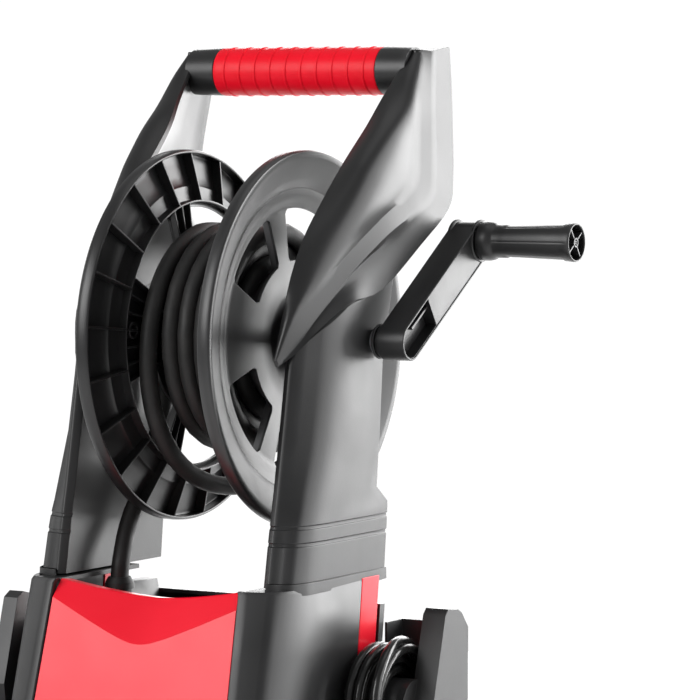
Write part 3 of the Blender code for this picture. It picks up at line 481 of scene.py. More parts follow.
CORD = 0.0072
CORD_PITCH = 0.0073
HANK_Y = 0.012
HANK_HIGH = 0.4190  # middle of the top bends
HANK_LOW = 0.2770  # middle of the bottom bends
HANK_LAST_X = 0.1385
LAYERS = (0.0238, 0.0311, 0.0384)
SLOTS = [0.1141 + CORD_PITCH * i for i in range(4)]
LEAD_GUIDES = (
    (0.1085, 0.0100, 0.1500), (0.1225, 0.0100, 0.1500), (0.1365, 0.0100, 0.1500),
    (0.1520, 0.0095, 0.1535), (0.1660, 0.0070, 0.1640), (0.1740, 0.0020, 0.1820),
    (0.1745, -0.0040, 0.2000), (0.1680, -0.0090, 0.2150), (0.1560, -0.0100, 0.2250),
    (0.1440, -0.0040, 0.2300), (0.1380, 0.0120, 0.2330),
)
TAIL_GUIDES = (
    (0.1370, -0.0342, 0.3200), (0.1355, -0.0343, 0.2800), (0.1330, -0.0346, 0.2400),
    (0.1290, -0.0350, 0.1950),
)


def hank_turns():
    """(slot, layer) of each turn in the order they are wound."""
    inner = [(slot, 0) for slot in (0, 1, 2)]
    between = [(slot, 1) for slot in (2, 1, 0)]
    outer = [(slot, 2) for slot in (0, 1, 2)]
    return [(3, 2), *inner, *between, *outer]


def hank_bend(here, there, height, start, pace=8):
    """Half a turn about a bend's middle, moving from one (x, radius) to the next as it goes."""
    x, radius = here
    next_x, next_radius = there
    found = []
    for step in range(10):
        turn = start + math.pi * step / 10
        r = radius + (next_radius - radius) * smooth_step((step - 1) / pace)
        along = x + (next_x - x) * smooth_step((step - 1) / 8)
        found.append(Vector((along, HANK_Y + r * math.cos(turn), height + r * math.sin(turn))))
    return found


def hank_route():
    """Turns go up the rear run, over the top, down the front run and back under."""
    rise = HANK_HIGH - HANK_LOW
    stops = [(SLOTS[slot], LAYERS[layer]) for slot, layer in hank_turns()]
    route = []
    for here, there in zip(stops, stops[1:]):
        x, radius = here
        route += [Vector((x, HANK_Y + radius, HANK_LOW + rise * step / 5)) for step in range(5)]
        route += hank_bend(here, here, HANK_HIGH, 0)
        route += [Vector((x, HANK_Y - radius, HANK_HIGH - rise * step / 5)) for step in range(5)]
        route += hank_bend(here, there, HANK_LOW, math.pi)
    x, radius = stops[-1]
    route += [Vector((x, HANK_Y + radius, HANK_LOW + rise * step / 5)) for step in range(5)]
    end = (HANK_LAST_X, LAYERS[2] + CORD_PITCH)
    return route + hank_bend(stops[-1], end, HANK_HIGH, 0, pace=6)


def make_mains_cord():
    radius = LAYERS[-1]
    joining = []
    for turn in (-0.95, -0.5):
        y = HANK_Y + radius * math.cos(turn)
        joining.append(Vector((SLOTS[3] + 0.001, y, HANK_LOW + radius * math.sin(turn))))
    lead = curve_through([*LEAD_GUIDES, *joining], 48)
    tail = curve_through([(0.1385, -0.0341, 0.4100), (0.1382, -0.0342, 0.3700), *TAIL_GUIDES], 22)
    rough = [*lead, *hank_route(), *tail]
    route = curve_through(rough, 2 * (len(rough) - 1))
    nodes = ["cord_lead", "cord_hank", "cord_tail"]
    cord = cord_curve("mains_cord", route, CORD, "cable", "machine", nodes)
    plug = make_plug(Vector(TAIL_GUIDES[-1]))
    gland = make_gland(Vector(LEAD_GUIDES[0]))


def make_plug(end):
    """A moulded two-pin plug with ribs on its strain relief, hanging pins down."""
    shape = Shape(end)
    profile = [(0.0036, 0.0006)]
    for i in range(5):
        radius = 0.0052 + 0.0011 * i
        proud = radius + 0.0008
        low = -0.002 - 0.0034 * i
        profile += [(radius, low), (proud, low - 0.0004), (proud, low - 0.0016), (radius, low - 0.002)]
    profile += [(0.0125, -0.0225), (0.0160, -0.0290), (0.0176, -0.0360)]
    profile += [(0.0180, -0.0500), (0.0172, -0.0520)]

    def flat_sides(turn, radius, height):
        share = smooth_step((-height - 0.018) / 0.012)
        return radius * (1 - 0.16 * share * math.sin(turn) ** 2), height

    shape.turned(profile, 40, axis=Z_AXIS, wave=flat_sides)
    made = shape.piece("mains_plug", "rubber", "machine", ["plug"])
    pins = Shape(end)
    for y in (-0.0095, 0.0095):
        pins.turned([(0.0024, -0.0515), (0.0024, -0.0700), (0.0014, -0.0712)], 16, (0, y, 0), Z_AXIS)
    pins.piece("plug_pins", "steel", "machine").parent = made
    return made


def make_gland(start):
    """The tapered strain relief, ribbed along its length."""
    shape = Shape((start.x - 0.0005, start.y, start.z))
    profile = [(0.0085, 0.0), (0.0088, 0.001), (0.0088, 0.0034)]
    for i in range(5):
        height = 0.005 + 0.0042 * i
        radius = 0.0076 - 0.0006 * i
        groove = radius - 0.0013
        profile += [(radius, height), (radius, height + 0.0018)]
        profile += [(groove, height + 0.0022), (groove, height + 0.0038)]
    profile += [(0.0042, 0.0262), (0.0037, 0.0262)]
    shape.turned(profile, 32)
    return shape.piece("cord_relief", "rubber", "machine", ["cord_gland"])


# Reel hose

HOSE = 0.0126
HOSE_ROWS = (
    (0.0517, (0.0258, 0.0129, 0.0, -0.0129, -0.0258)),
    (0.0627, (-0.01935, -0.00645, 0.00645, 0.01935)),
    (0.0737, (0.0258, 0.0129, 0.0, -0.0129)),
)
STEPS_PER_TURN = 30
START_ANGLE = 80
SLACK = (
    (80, 0.0737, -0.0268), (100, 0.0737, -0.0268), (120, 0.0740, -0.0268), (140, 0.0750, -0.0268),
    (160, 0.0765, -0.0268), (180, 0.0795, -0.0266), (200, 0.0850, -0.0262), (218, 0.0915, -0.0250),
    (236, 0.0985, -0.0215), (252, 0.1030, -0.0150), (268, 0.1045, -0.0060), (284, 0.1030, 0.0035),
    (300, 0.1005, 0.0110), (316, 0.0985, 0.0160), (332, 0.0975, 0.0185),
)


def on_reel(angle, radius, along):
    turn = math.radians(angle)
    return REEL + Vector((along, radius * math.cos(turn), radius * math.sin(turn)))


def reel_hose_route():
    """Layers wound side by side, each turn stepping across behind the top, then the slack last turn."""
    rows = [(radius, along) for radius, row in HOSE_ROWS for along in row]
    rows.append((SLACK[0][1], SLACK[0][2]))
    route = []
    for number, (radius, along) in enumerate(rows[:-1]):
        next_radius, next_along = rows[number + 1]
        for step in range(STEPS_PER_TURN):
            part = step / STEPS_PER_TURN
            share = smooth_step((part - 0.70) / 0.30)
            r = radius + (next_radius - radius) * share
            x = along + (next_along - along) * share
            route.append(on_reel(START_ANGLE + 360 * part, r, x))
    slack = curve_through([on_reel(*guide) for guide in SLACK], 56)
    return route + slack


def make_reel_hose():
    route = reel_hose_route()
    hose = cord_curve("reel_hose", route, HOSE, "hose", "reel", ["hose_winding", "hose_end"])
    fitting = make_connector(route[-1], (route[-1] - route[-2]).normalized())


def make_connector(end, direction):
    """A crimped brass ferrule with a hexagon and a threaded spigot."""
    shape = Shape(end)
    profile = [(0.0064, -0.0060), (0.0072, -0.0055)]
    for i in range(3):
        low = -0.004 + 0.005 * i
        profile += [(0.0078, low), (0.0078, low + 0.003), (0.0072, low + 0.0036), (0.0072, low + 0.0046)]
    profile += [(0.0078, 0.0115), (0.0078, 0.0135)]
    shape.turned(profile, 32, axis=direction)
    hexagon = [(0.0088, 0.0138), (0.0094, 0.0146), (0.0094, 0.0214), (0.0088, 0.0222)]
    shape.turned(hexagon, 6, axis=direction)
    thread = [(0.0066, 0.0222)]
    for i in range(6):
        low = 0.0232 + 0.0019 * i
        thread += [(0.0066, low), (0.0074, low + 0.0009), (0.0066, low + 0.0018)]
    thread += [(0.0060, 0.0352), (0.0040, 0.0360)]
    shape.turned(thread, 32, axis=direction)
    return shape.piece("hose_fitting", "brass", "reel", ["hose_connector"])


GROMMET = Vector((-0.063, REEL.y - 0.062, 0.4880))
ELBOW_X = -0.066


def make_lead_hose():
    """The hose from the deck's grommet up to the swivel elbow on the reel axis."""
    guides = [
        GROMMET + Vector((0, 0, -0.010)),
        GROMMET + Vector((0, 0, 0.001)),
        GROMMET + Vector((0, 0, 0.012)),
        GROMMET + Vector((0, 0.003, 0.026)),
        REEL + Vector((ELBOW_X, -0.045, -0.128)),
        REEL + Vector((ELBOW_X, -0.021, -0.095)),
        REEL + Vector((ELBOW_X, -0.002, -0.052)),
        REEL + Vector((ELBOW_X, 0, -0.0210)),
    ]
    route = curve_through(guides, 40)
    hose = cord_curve("feed_hose", route, HOSE, "hose", "machine", ["lead_hose"])


make_camera()
LOOKS = make_materials()
make_world()
make_lights()
make_floor()
make_mains_cord()
make_reel_hose()
make_lead_hose()


# Blade covers: five lines from the lower tip to the top, in millimetres from the middle of the reel

BLADE_FRONT = (
    (79.5, -90.0, -10.0), (79.5, -77.7, 23.1), (79.5, -67.2, 47.9), (79.5, -51.4, 71.8),
    (79.5, -27.1, 96.2), (79.5, -6.3, 115.0), (79.7, 8.4, 127.5), (81.5, 29.9, 147.0),
    (84.3, 46.3, 165.9), (87.0, 64.3, 184.0), (90.0, 79.0, 197.5),
)
BLADE_CREASE = (
    (81.0, -88.9, -9.0), (88.0, -77.0, 18.0), (94.5, -50.5, 41.1), (99.5, -19.0, 64.0),
    (103.5, 15.3, 84.7), (105.6, 39.5, 96.5), (106.7, 54.5, 110.0), (106.7, 57.0, 133.0),
    (106.2, 58.5, 155.0), (102.3, 66.9, 178.0), (96.8, 80.0, 197.5),
)
BLADE_RIDGE = (
    (81.5, -87.5, -11.5), (90.0, -69.0, 6.5), (96.0, -49.4, 25.8), (102.0, -18.6, 51.0),
    (106.5, 18.0, 73.0), (108.5, 50.0, 86.5), (109.2, 74.0, 98.0), (109.0, 77.0, 125.0),
    (108.6, 77.5, 150.0), (105.8, 82.0, 172.0), (100.5, 90.7, 196.5),
)
BLADE_SHOULDER = (
    (80.2, -89.6, -9.6), (85.0, -79.2, 21.0), (91.0, -59.5, 45.0), (96.0, -38.5, 69.0),
    (100.0, -17.5, 92.0), (101.6, -3.6, 108.5), (102.0, 6.3, 121.0), (102.3, 25.6, 142.0),
    (101.2, 47.7, 162.0), (96.5, 62.0, 182.0), (93.5, 76.5, 197.5),
)
BLADE_EDGE = (
    (80.5, -87.0, -14.0), (89.0, -76.3, -4.6), (96.5, -62.0, 9.0), (105.0, -32.7, 27.1),
    (108.3, 5.0, 35.0), (108.4, 59.0, 64.0), (107.6, 100.5, 88.5), (106.8, 108.5, 110.0),
    (104.3, 112.5, 140.0), (100.8, 117.0, 172.0), (98.3, 118.5, 200.5),
)
MILLIMETRE = 0.001
BLADE_INNER = 0.0790
BLADE_CROWN = ((0.0009, 0.012), (0.0016, 0.035), (0.0020, 0.080))


def blade_line(points, count=40):
    return [point * MILLIMETRE for point in curve_through(points, count)]


def across(first, second, count, bulge=0.0, peak=0.5):
    """Points from first to second, without the second, bowed out along X."""
    found = []
    for i in range(count):
        u = i / count
        bow = bulge * math.sin(math.pi * u ** (math.log(0.5) / math.log(peak)))
        found.append(first.lerp(second, u) + X_AXIS * bow)
    return found


def make_blade(side):
    """A blade cover: a dark front face, a bright bent band, and a rim that sinks behind its ridge.

    Its inner side runs straight from the front edge to the rear edge, a little sunk behind a narrow lip.
    """
    front = blade_line(BLADE_FRONT)
    shoulder = blade_line(BLADE_SHOULDER)
    crease = blade_line(BLADE_CREASE)
    ridge = blade_line(BLADE_RIDGE)
    edge = blade_line(BLADE_EDGE)
    rows = []
    count = len(front) - 1
    for i in range(count + 1):
        s = i / count
        belly = -0.0034 * math.sin(math.pi * smooth_step(s / 0.58)) if s < 0.58 else 0.0
        pull = 2 * shoulder[i] - (front[i] + crease[i]) / 2
        row = bend(front[i], pull, crease[i], 12)[:-1]
        row += across(crease[i], ridge[i], 4)
        row += across(ridge[i], edge[i], 6, belly, 0.34)
        row.append(edge[i])
        row += blade_inside(front[i], edge[i], s)
        rows.append(row)
    for drop, inset in BLADE_CROWN:
        rows.append(shrunk(rows[count], drop, inset))
    shape = Shape(REEL)
    shape.grid(rows, closed=True)
    nodes = [f"blade_cover_{side}"]
    bevel = (0.0010, 3, 24)
    shape.piece(f"blade_{side}", "blade", "machine", nodes, bevel, side == "left", math.radians(28))


def shrunk(row, rise, inset):
    """A blade's top row again, drawn in towards its middle and raised, for a rounded crown."""
    centre = sum(row, Vector()) / len(row)
    return [point.lerp(centre, inset) + Z_AXIS * rise for point in row]


def blade_inside(front, edge, s):
    """The inner side from the rear edge to the front: flat against the strut, and sunk higher up."""
    high = smooth_step((s - 0.50) / 0.12)
    found = []
    for u in (0.02, 0.10, 0.35, 0.65, 0.90, 0.96):
        flat = Vector((BLADE_INNER, edge.y + (front.y - edge.y) * u, edge.z + (front.z - edge.z) * u))
        slant = edge.lerp(front, u)
        sunk = 0.0016 if 0.05 < u < 0.93 else 0.0
        slant.x -= 0.0018 - sunk
        found.append(flat.lerp(slant, high))
    return found


# Struts

STRUT_INNER = 0.0795
STRUT_HALF = 0.1056
STRUT_LEVELS = (
    # height, front edge, how far behind it the shoulder is, rear edge, how far the groove sinks
    (-0.1600, -0.1070, 0.0035, 0.0163, 0.0),
    (-0.1330, -0.1020, 0.0055, 0.0192, 0.0),
    (-0.1324, -0.1019, 0.0056, 0.0193, 0.0008),
    (-0.1306, -0.1016, 0.0058, 0.0195, 0.0008),
    (-0.1300, -0.1015, 0.0059, 0.0196, 0.0),
    (-0.1218, -0.0998, 0.0070, 0.0204, 0.0),
    (-0.1212, -0.0997, 0.0071, 0.0205, 0.0008),
    (-0.1194, -0.0992, 0.0074, 0.0206, 0.0008),
    (-0.1188, -0.0991, 0.0075, 0.0207, 0.0),
    (-0.1110, -0.0975, 0.0100, 0.0211, 0.0),
    (-0.1000, -0.0950, 0.0120, 0.0062, 0.0),
    (-0.0640, -0.0880, 0.0200, 0.0101, 0.0),
    (-0.0140, -0.0790, 0.0220, 0.0142, 0.0),
    (0.0150, -0.0735, 0.0220, 0.0175, 0.0),
    (0.0600, -0.0645, 0.0220, 0.0330, 0.0),
)


def strut_section(level):
    """Outline at one height: narrow front facet, rounded shoulder, outer face and rear strip."""
    z, front, back, rear, sink = level
    half = STRUT_HALF - sink
    front += sink
    outline = [(STRUT_INNER, front + 0.0035), (0.0832, front + 0.0005)]
    outline += [(0.0846, front), (0.0862, front + 0.0003)]
    start = Vector((0.0878, front + 0.0012, 0))
    knee = start.lerp(Vector((0.1015, front + back, 0)), 0.72)
    outline += [(start.x, start.y), ((start.x + knee.x) / 2, (start.y + knee.y) / 2)]
    end = Vector((half, front + back + 0.034, 0))
    pull = Vector((half - 0.0002, front + back + 0.0040, 0))
    outline += [(point.x, point.y) for point in bend(knee, pull, end, 8)]
    outline += [(half, rear - 0.0150), (half - 0.0018, rear - 0.0008)]
    outline += [(half - 0.0032, rear), (STRUT_INNER, rear)]
    return [(x, y, z) for x, y in outline]


def under_blade(y):
    """Height of the blade's lower edge at one distance from front to back."""
    last = BLADE_EDGE[0]
    for line in BLADE_EDGE[1:6]:
        if y * 1000 <= line[1]:
            break
        last = line
    part = (y * 1000 - last[1]) / (line[1] - last[1])
    return (last[2] + part * (line[2] - last[2])) * MILLIMETRE


def strut_top(lift, inset):
    """The strut's outline where it meets the blade, raised by lift and drawn in by inset."""
    low = strut_section(STRUT_LEVELS[-3])
    high = strut_section(STRUT_LEVELS[-1])
    found = []
    for below, above in zip(low, high):
        height = 0.010
        for _ in range(6):
            part = (height - below[2]) / (above[2] - below[2])
            y = below[1] + part * (above[1] - below[1])
            height = under_blade(y)
        x = below[0] - (inset if below[0] > 0.083 else 0)
        found.append((x, y + (inset if y < 0 else -inset), height + lift))
    return found


def make_strut(side):
    shape = Shape(REEL)
    rows = [strut_section(level) for level in STRUT_LEVELS[:-2]]
    shape.grid([*rows, strut_top(-0.0012, 0), strut_top(0.0030, 0.0022)], closed=True)
    nodes = [f"strut_{side}"]
    shape.piece(f"strut_{side}_shell", "black", "machine", nodes, (0.0006, 2, 28), side == "left")


for make_side in (make_blade, make_strut):
    make_side("right")
    make_side("left")


# Reel flanges

FLANGE_SECTORS = 180
WINDOW_MIDDLES = (24, 78, 132, 218, 272, 326)
WINDOW_HALF = 20
WINDOW_RADII = (0.0540, 0.0570, 0.0630, 0.0720, 0.0810, 0.0870, 0.0900)
WEB_OUTER = 0.0415
WEB_INNER = 0.0393
RIB_EDGE = 0.0347
FLANGE_HUB = (
    (0.0066, 0.0505), (0.0195, 0.0505), (0.0225, 0.0495), (0.0245, 0.0462),
    (0.0275, 0.0432), (0.0330, 0.0419), (0.0430, 0.0415),
)
FLANGE_RIM = (
    (0.0925, 0.0420), (0.0960, 0.0436), (0.1000, 0.0446), (0.1036, 0.0452), (0.1050, 0.0466),
    (0.1110, 0.0488), (0.1180, 0.0511), (0.1240, 0.0529), (0.1272, 0.0537), (0.1290, 0.0534),
    (0.1299, 0.0520), (0.1300, 0.0490), (0.1297, 0.0450), (0.1290, 0.0437), (0.1279, 0.0435),
    (0.1271, 0.0443), (0.1269, 0.0510), (0.1250, 0.0511), (0.1190, 0.0493), (0.1120, 0.0470),
    (0.1062, 0.0449), (0.1044, 0.0431), (0.1000, 0.0424), (0.0960, 0.0414), (0.0925, 0.0397),
)
FLANGE_BORE = (
    (0.0430, WEB_INNER), (0.0420, 0.0352), (0.0405, RIB_EDGE), (0.0150, RIB_EDGE), (0.0066, RIB_EDGE),
)
RIB_COUNT = 21
RIB_START = 72
BRIDGES = ((44, 58), (98, 112), (152, 198), (238, 252), (292, 306), (346, 364))


def in_window(turn):
    return any(abs((turn - middle + 180) % 360 - 180) < WINDOW_HALF for middle in WINDOW_MIDDLES)


def reel_point(angle, radius, along, aside=0.0):
    turn = math.radians(angle)
    y = radius * math.cos(turn) - aside * math.sin(turn)
    z = radius * math.sin(turn) + aside * math.cos(turn)
    return (along, y, z)


def flange_shell(shape):
    """The dished plate, with its six windows open."""
    outer = [(radius, WEB_OUTER) for radius in WINDOW_RADII]
    inner = [(radius, WEB_INNER) for radius in reversed(WINDOW_RADII)]
    section = [*FLANGE_HUB, *outer, *FLANGE_RIM, *inner, *FLANGE_BORE]
    first = len(FLANGE_HUB)
    span = len(WINDOW_RADII)
    second = first + span + len(FLANGE_RIM)
    step = 360 / FLANGE_SECTORS
    rows = []
    for radius, along in section:
        row = []
        for sector in range(FLANGE_SECTORS):
            turn = sector * step
            r = radius
            corner = in_window(turn - step / 2) != in_window(turn + step / 2)
            if corner and radius in (WINDOW_RADII[0], WINDOW_RADII[-1]):
                inward = 1 if in_window(turn + step / 2) else -1
                turn += 0.9 * inward
                r += 0.0012 if radius == WINDOW_RADII[0] else -0.0012
            row.append(shape.vert(reel_point(turn, r, along)))
        rows.append(row)
    count = len(rows)
    pairs = [(k, k + 1) for k in range(first, first + span - 1)]
    open_rings = {k for k, after in pairs} | {k + second - first for k, after in pairs}
    for k in range(count):
        below = rows[k]
        above = rows[(k + 1) % count]
        for sector in range(FLANGE_SECTORS):
            if k in open_rings and in_window((sector + 0.5) * step):
                continue
            j = (sector + 1) % FLANGE_SECTORS
            shape.bm.faces.new((below[sector], below[j], above[j], above[sector]))
    twin = {first + k: second + span - 1 - k for k in range(span)}
    for sector in range(FLANGE_SECTORS):
        here = in_window((sector + 0.5) * step)
        j = (sector + 1) % FLANGE_SECTORS
        if here:
            for ring in (first, first + span - 1):
                face = rows[ring]
                mate = rows[twin[ring]]
                shape.bm.faces.new((face[sector], face[j], mate[j], mate[sector]))
        if here != in_window((sector - 0.5) * step):
            for ring, after in pairs:
                mates = (rows[twin[after]][sector], rows[twin[ring]][sector])
                shape.bm.faces.new((rows[ring][sector], rows[after][sector], *mates))


def radial_rib(shape, angle, outline, thickness=0.0015):
    half = thickness / 2
    shape.prism(outline, lambda u, v, w: reel_point(angle, u, v, w), (-half, half))


def tube_profile(inner, outer, low, high):
    """The outline of a plain tube's wall, for turned."""
    return [(inner, low), (outer, low), (outer, high), (inner, high), (inner, low)]


def make_flange(side):
    shape = Shape(REEL)
    flange_shell(shape)
    slope = [(0.0944, RIB_EDGE), (0.1273, 0.0438), (0.1273, 0.0518)]
    slope += [(0.1062, 0.0455), (0.0944, 0.0412)]
    for i in range(RIB_COUNT):
        radial_rib(shape, RIB_START + 360 * i / RIB_COUNT, slope)
    spoke = [(0.0425, RIB_EDGE), (0.0940, RIB_EDGE), (0.0940, 0.0400), (0.0425, 0.0400)]
    for low, high in BRIDGES:
        gaps = round((high - low) / 8)
        for i in range(gaps + 1):
            radial_rib(shape, low + 0.8 + (high - low - 1.6) * i / gaps, spoke)
    shape.turned(tube_profile(0.0935, 0.0949, RIB_EDGE, 0.0415), 120)
    boss = tube_profile(0.0040, 0.0060, RIB_EDGE + 0.0004, 0.0400)
    for angle in (245, 299, 175):
        shape.turned(boss, 28, reel_point(angle, 0.0850, 0))
    nodes = [f"reel_flange_{side}"]
    shape.piece(f"reel_flange_{side}_shell", "reel", "reel", nodes, (0.00045, 2, 35), side == "left")


# Crank

CRANK_REACH = math.hypot(0.100, 0.066)
ALONG = Vector((0, 0.100, 0.066)) / CRANK_REACH
ASIDE = Vector((0, -ALONG.z, ALONG.y))
ARM_INNER = 0.1137
ARM_OUTER = 0.1345
ARM_HUB_RADIUS = 0.0127
ARM_END_RADIUS = 0.0133
POCKET_REACH = 0.0350
POCKET_HALF = 0.0109
GRIP_START = REEL + ALONG * CRANK_REACH + X_AXIS * (ARM_OUTER + 0.0005)


def crank_point(u, v, w):
    return ALONG * u + ASIDE * v + X_AXIS * w


def half_round(middle, radius, start):
    """24 points of a half circle in the arm's plane, about (middle, 0)."""
    turns = [start + math.pi * i / 23 for i in range(24)]
    return [(middle + radius * math.cos(turn), radius * math.sin(turn)) for turn in turns]


def arm_loop(inset):
    """Round the arm: the hub end first, then the handle end."""
    hub_end = half_round(0, ARM_HUB_RADIUS - inset, math.pi / 2)
    return hub_end + half_round(CRANK_REACH, ARM_END_RADIUS - inset, -math.pi / 2)


def pocket_loop():
    """The open pocket: round the hub, then straight across the arm."""
    straight = [(POCKET_REACH, POCKET_HALF * (2 * i / 23 - 1)) for i in range(24)]
    return half_round(0, 0.0107, math.pi / 2) + straight


def make_crank_arm():
    """A channel-shaped arm: raised edge, flat plate, open pocket over the hub, ringed handle end."""
    shape = Shape(REEL)
    loops = [
        (arm_loop(0.0004), ARM_INNER),
        (arm_loop(0), ARM_INNER + 0.0004),
        (arm_loop(0), ARM_OUTER - 0.0005),
        (arm_loop(0.0005), ARM_OUTER),
        (arm_loop(0.0013), ARM_OUTER),
        (arm_loop(0.0017), ARM_OUTER - 0.0007),
        (pocket_loop(), ARM_OUTER - 0.0007),
        (pocket_loop(), ARM_INNER + 0.0115),
    ]
    shape.grid([[crank_point(u, v, w) for u, v in loop] for loop, w in loops], closed=True)
    barrel = [(0.0063, 0.1112), (0.0106, 0.1112), (0.0110, 0.1116)]
    barrel += [(0.0110, 0.1150), (0.0063, 0.1150), (0.0063, 0.1112)]
    shape.turned(barrel, 40)
    end = [
        (0.0047, ARM_INNER), (0.0145, ARM_INNER), (0.0150, ARM_INNER + 0.0005),
        (0.0150, ARM_INNER + 0.0016), (0.0145, ARM_INNER + 0.0022), (0.0134, ARM_INNER + 0.0028),
        (0.0134, ARM_OUTER - 0.0028), (0.0145, ARM_OUTER - 0.0022), (0.0150, ARM_OUTER - 0.0016),
        (0.0150, ARM_OUTER - 0.0005), (0.0145, ARM_OUTER), (0.0133, ARM_OUTER),
        (0.0129, ARM_OUTER - 0.0010), (0.0129, ARM_OUTER - 0.0006), (0.0047, ARM_OUTER - 0.0006),
        (0.0047, ARM_INNER),
    ]
    shape.turned(end, 56, ALONG * CRANK_REACH)
    brace = [(0.0100, 0.0030), (POCKET_REACH, 0.0034), (POCKET_REACH, 0.0046), (0.0100, 0.0050)]
    shape.prism(brace, crank_point, (ARM_INNER + 0.0110, ARM_OUTER - 0.0035))
    shape.piece("crank_arm_shell", "black", "reel", ["crank_arm"], (0.0003, 2, 40))


GRIP_PROFILE = (
    (0.0044, 0.0000), (0.0122, 0.0000), (0.0134, 0.0006), (0.0138, 0.0020), (0.0137, 0.0065),
    (0.0129, 0.0100), (0.0119, 0.0113), (0.0116, 0.0130), (0.0116, 0.0170), (0.0116, 0.0195),
    (0.0117, 0.0205), (0.0117, 0.0215), (0.0119, 0.0300), (0.0122, 0.0400), (0.0126, 0.0500),
    (0.0129, 0.0600), (0.0130, 0.0640), (0.0130, 0.0650), (0.0131, 0.0660), (0.0133, 0.0690),
    (0.0135, 0.0715), (0.0134, 0.0730), (0.0131, 0.0735), (0.0124, 0.0735), (0.0121, 0.0731),
    (0.0120, 0.0722), (0.0120, 0.0600), (0.0044, 0.0600), (0.0044, 0.0000),
)


def grip_panels(turn, radius, height):
    """Two long recessed panels above and below, and a moulding seam at the front and back."""
    if radius < 0.0115 or height > 0.0700:
        return radius, height
    length = smooth_step((height - 0.0194) / 0.0012) * smooth_step((0.0662 - height) / 0.0012)
    spread = abs(math.sin(turn))
    panel = smooth_step((spread - 0.80) / 0.05)
    seam = 0.00025 if spread < 0.03 and height > 0.0125 else 0.0
    return radius - 0.0008 * panel * length - seam, height


def make_crank_grip():
    shape = Shape(GRIP_START)
    shape.turned(GRIP_PROFILE, 112, wave=grip_panels)
    for turn in (0.62, 0.62 + math.pi / 2):
        aim = Vector((0, math.cos(turn), math.sin(turn)))
        side = X_AXIS.cross(aim)
        outline = [(-0.0122, -0.0006), (0.0122, -0.0006), (0.0122, 0.0006), (-0.0122, 0.0006)]
        shape.prism(outline, lambda u, v, w: aim * u + side * v + X_AXIS * w, (0.0600, 0.0726))
    shape.turned(tube_profile(0.0022, 0.0034, 0.0600, 0.0730), 28)
    shape.piece("crank_grip_shell", "black", "crank_handle", ["crank_grip"], (0.0002, 2, 45))


# Carrying handle

GRIP_LOW, GRIP_HIGH = (Vector(corner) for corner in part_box("handle_grip"))
GRIP_MIDDLE = (GRIP_LOW + GRIP_HIGH) / 2
GRIP_RINGS = 10
TUBE_RADIUS = 0.0128


def make_handle_grip():
    """The red sleeve with thin raised rings, a little fuller at its left end."""
    start = GRIP_LOW.x
    length = GRIP_HIGH.x - start
    base = GRIP_HIGH.z - GRIP_MIDDLE.z - 0.0007
    profile = [(TUBE_RADIUS, 0.0), (base - 0.0012, 0.0)]
    profile += [(base - 0.0002, 0.0006), (base + 0.0002, 0.0020)]
    for i in range(GRIP_RINGS):
        place = length * (i + 0.75) / (GRIP_RINGS + 0.5)
        swell = 0.0003 * (1 - place / length)
        profile += [
            (base + swell - 0.0001, place - 0.0048),
            (base + swell - 0.0004, place - 0.0012),
            (base + swell + 0.0003, place - 0.0006),
            (base + swell + 0.0003, place + 0.0004),
            (base + swell - 0.0004, place + 0.0010),
        ]
    profile += [(base, length - 0.0020), (base - 0.0002, length - 0.0006)]
    profile += [(base - 0.0012, length), (TUBE_RADIUS, length), profile[0]]
    shape = Shape((start, GRIP_MIDDLE.y, GRIP_MIDDLE.z))
    shape.turned(profile, 72)
    shape.piece("handle_sleeve", "grip", "machine", ["handle_grip"])


make_flange("right")
make_flange("left")
make_crank_arm()
make_crank_grip()
make_handle_grip()


# Side casings, with a rounded pillar in front, a flat top and a sleeve round the strut's foot

SIDE_HALF = 0.1068
WALL = 0.003
SLEEVE_TOP = 0.5085
SLEEVE_LEVELS = (
    # height, gap to the strut, wall
    (BODY_TOP - 0.004, 0.0006, 0.0020),
    (SLEEVE_TOP - 0.0006, 0.0006, 0.0017),
    (SLEEVE_TOP, 0.0012, 0.0010),
)
CASING_LEVELS = (0.1150, 0.1190, 0.2000, 0.3000, 0.4000, 0.4600, 0.5020, 0.5045)


def casing_section(z):
    """Points round the outside of the right casing at one height, front pillar first."""
    w = front_half(z)
    y = front_y(z)
    bulge = SIDE_HALF - w
    outline = [Vector((w - PILLAR, y + 0.0003, z)), Vector((w - PILLAR + 0.0008, y - 0.0003, z))]
    outline += [Vector((w - 0.0045, y - 0.0003, z)), Vector((w - 0.0025, y + 0.0005, z))]
    knee = Vector((w + 0.40 * bulge, y + 0.12 * bulge + 0.0016, z))
    end = Vector((SIDE_HALF - 0.0004, y + 2.3 * bulge + 0.006, z))
    pull = Vector((w + 0.97 * bulge, y + 0.40 * bulge, z))
    rear = Vector((SIDE_HALF, trim_y(z), z))
    return [*outline, *bend(knee, pull, end, 9), end.lerp(rear, 0.5), rear]


def make_casing(side):
    shape = Shape()
    rows = []
    for z in CASING_LEVELS:
        inset = 0.0012 if z in (CASING_LEVELS[0], CASING_LEVELS[-1]) else 0.0
        outer = [point - X_AXIS * inset + Y_AXIS * inset * 0.6 for point in casing_section(z)]
        inner = [point - X_AXIS * WALL + Y_AXIS * WALL * 0.8 for point in outer[3:-1]]
        close = [Vector((outer[0].x, outer[0].y + 0.004, z))]
        tail = [Vector((SIDE_HALF - WALL, trim_y(z), z))]
        rows.append([*outer, *tail, *reversed(inner), *close])
    shape.grid(rows, closed=True)
    lid = (BODY_TOP - 0.0035, BODY_TOP - 0.0005)
    shape.prism(casing_top_outline(), lambda u, v, w: (u, v, w), lid)
    add_sleeve(shape)
    nodes = [f"{side}_casing"]
    shape.piece(f"{side}_casing_shell", "black", "machine", nodes, (0.0006, 2, 30), side == "left")


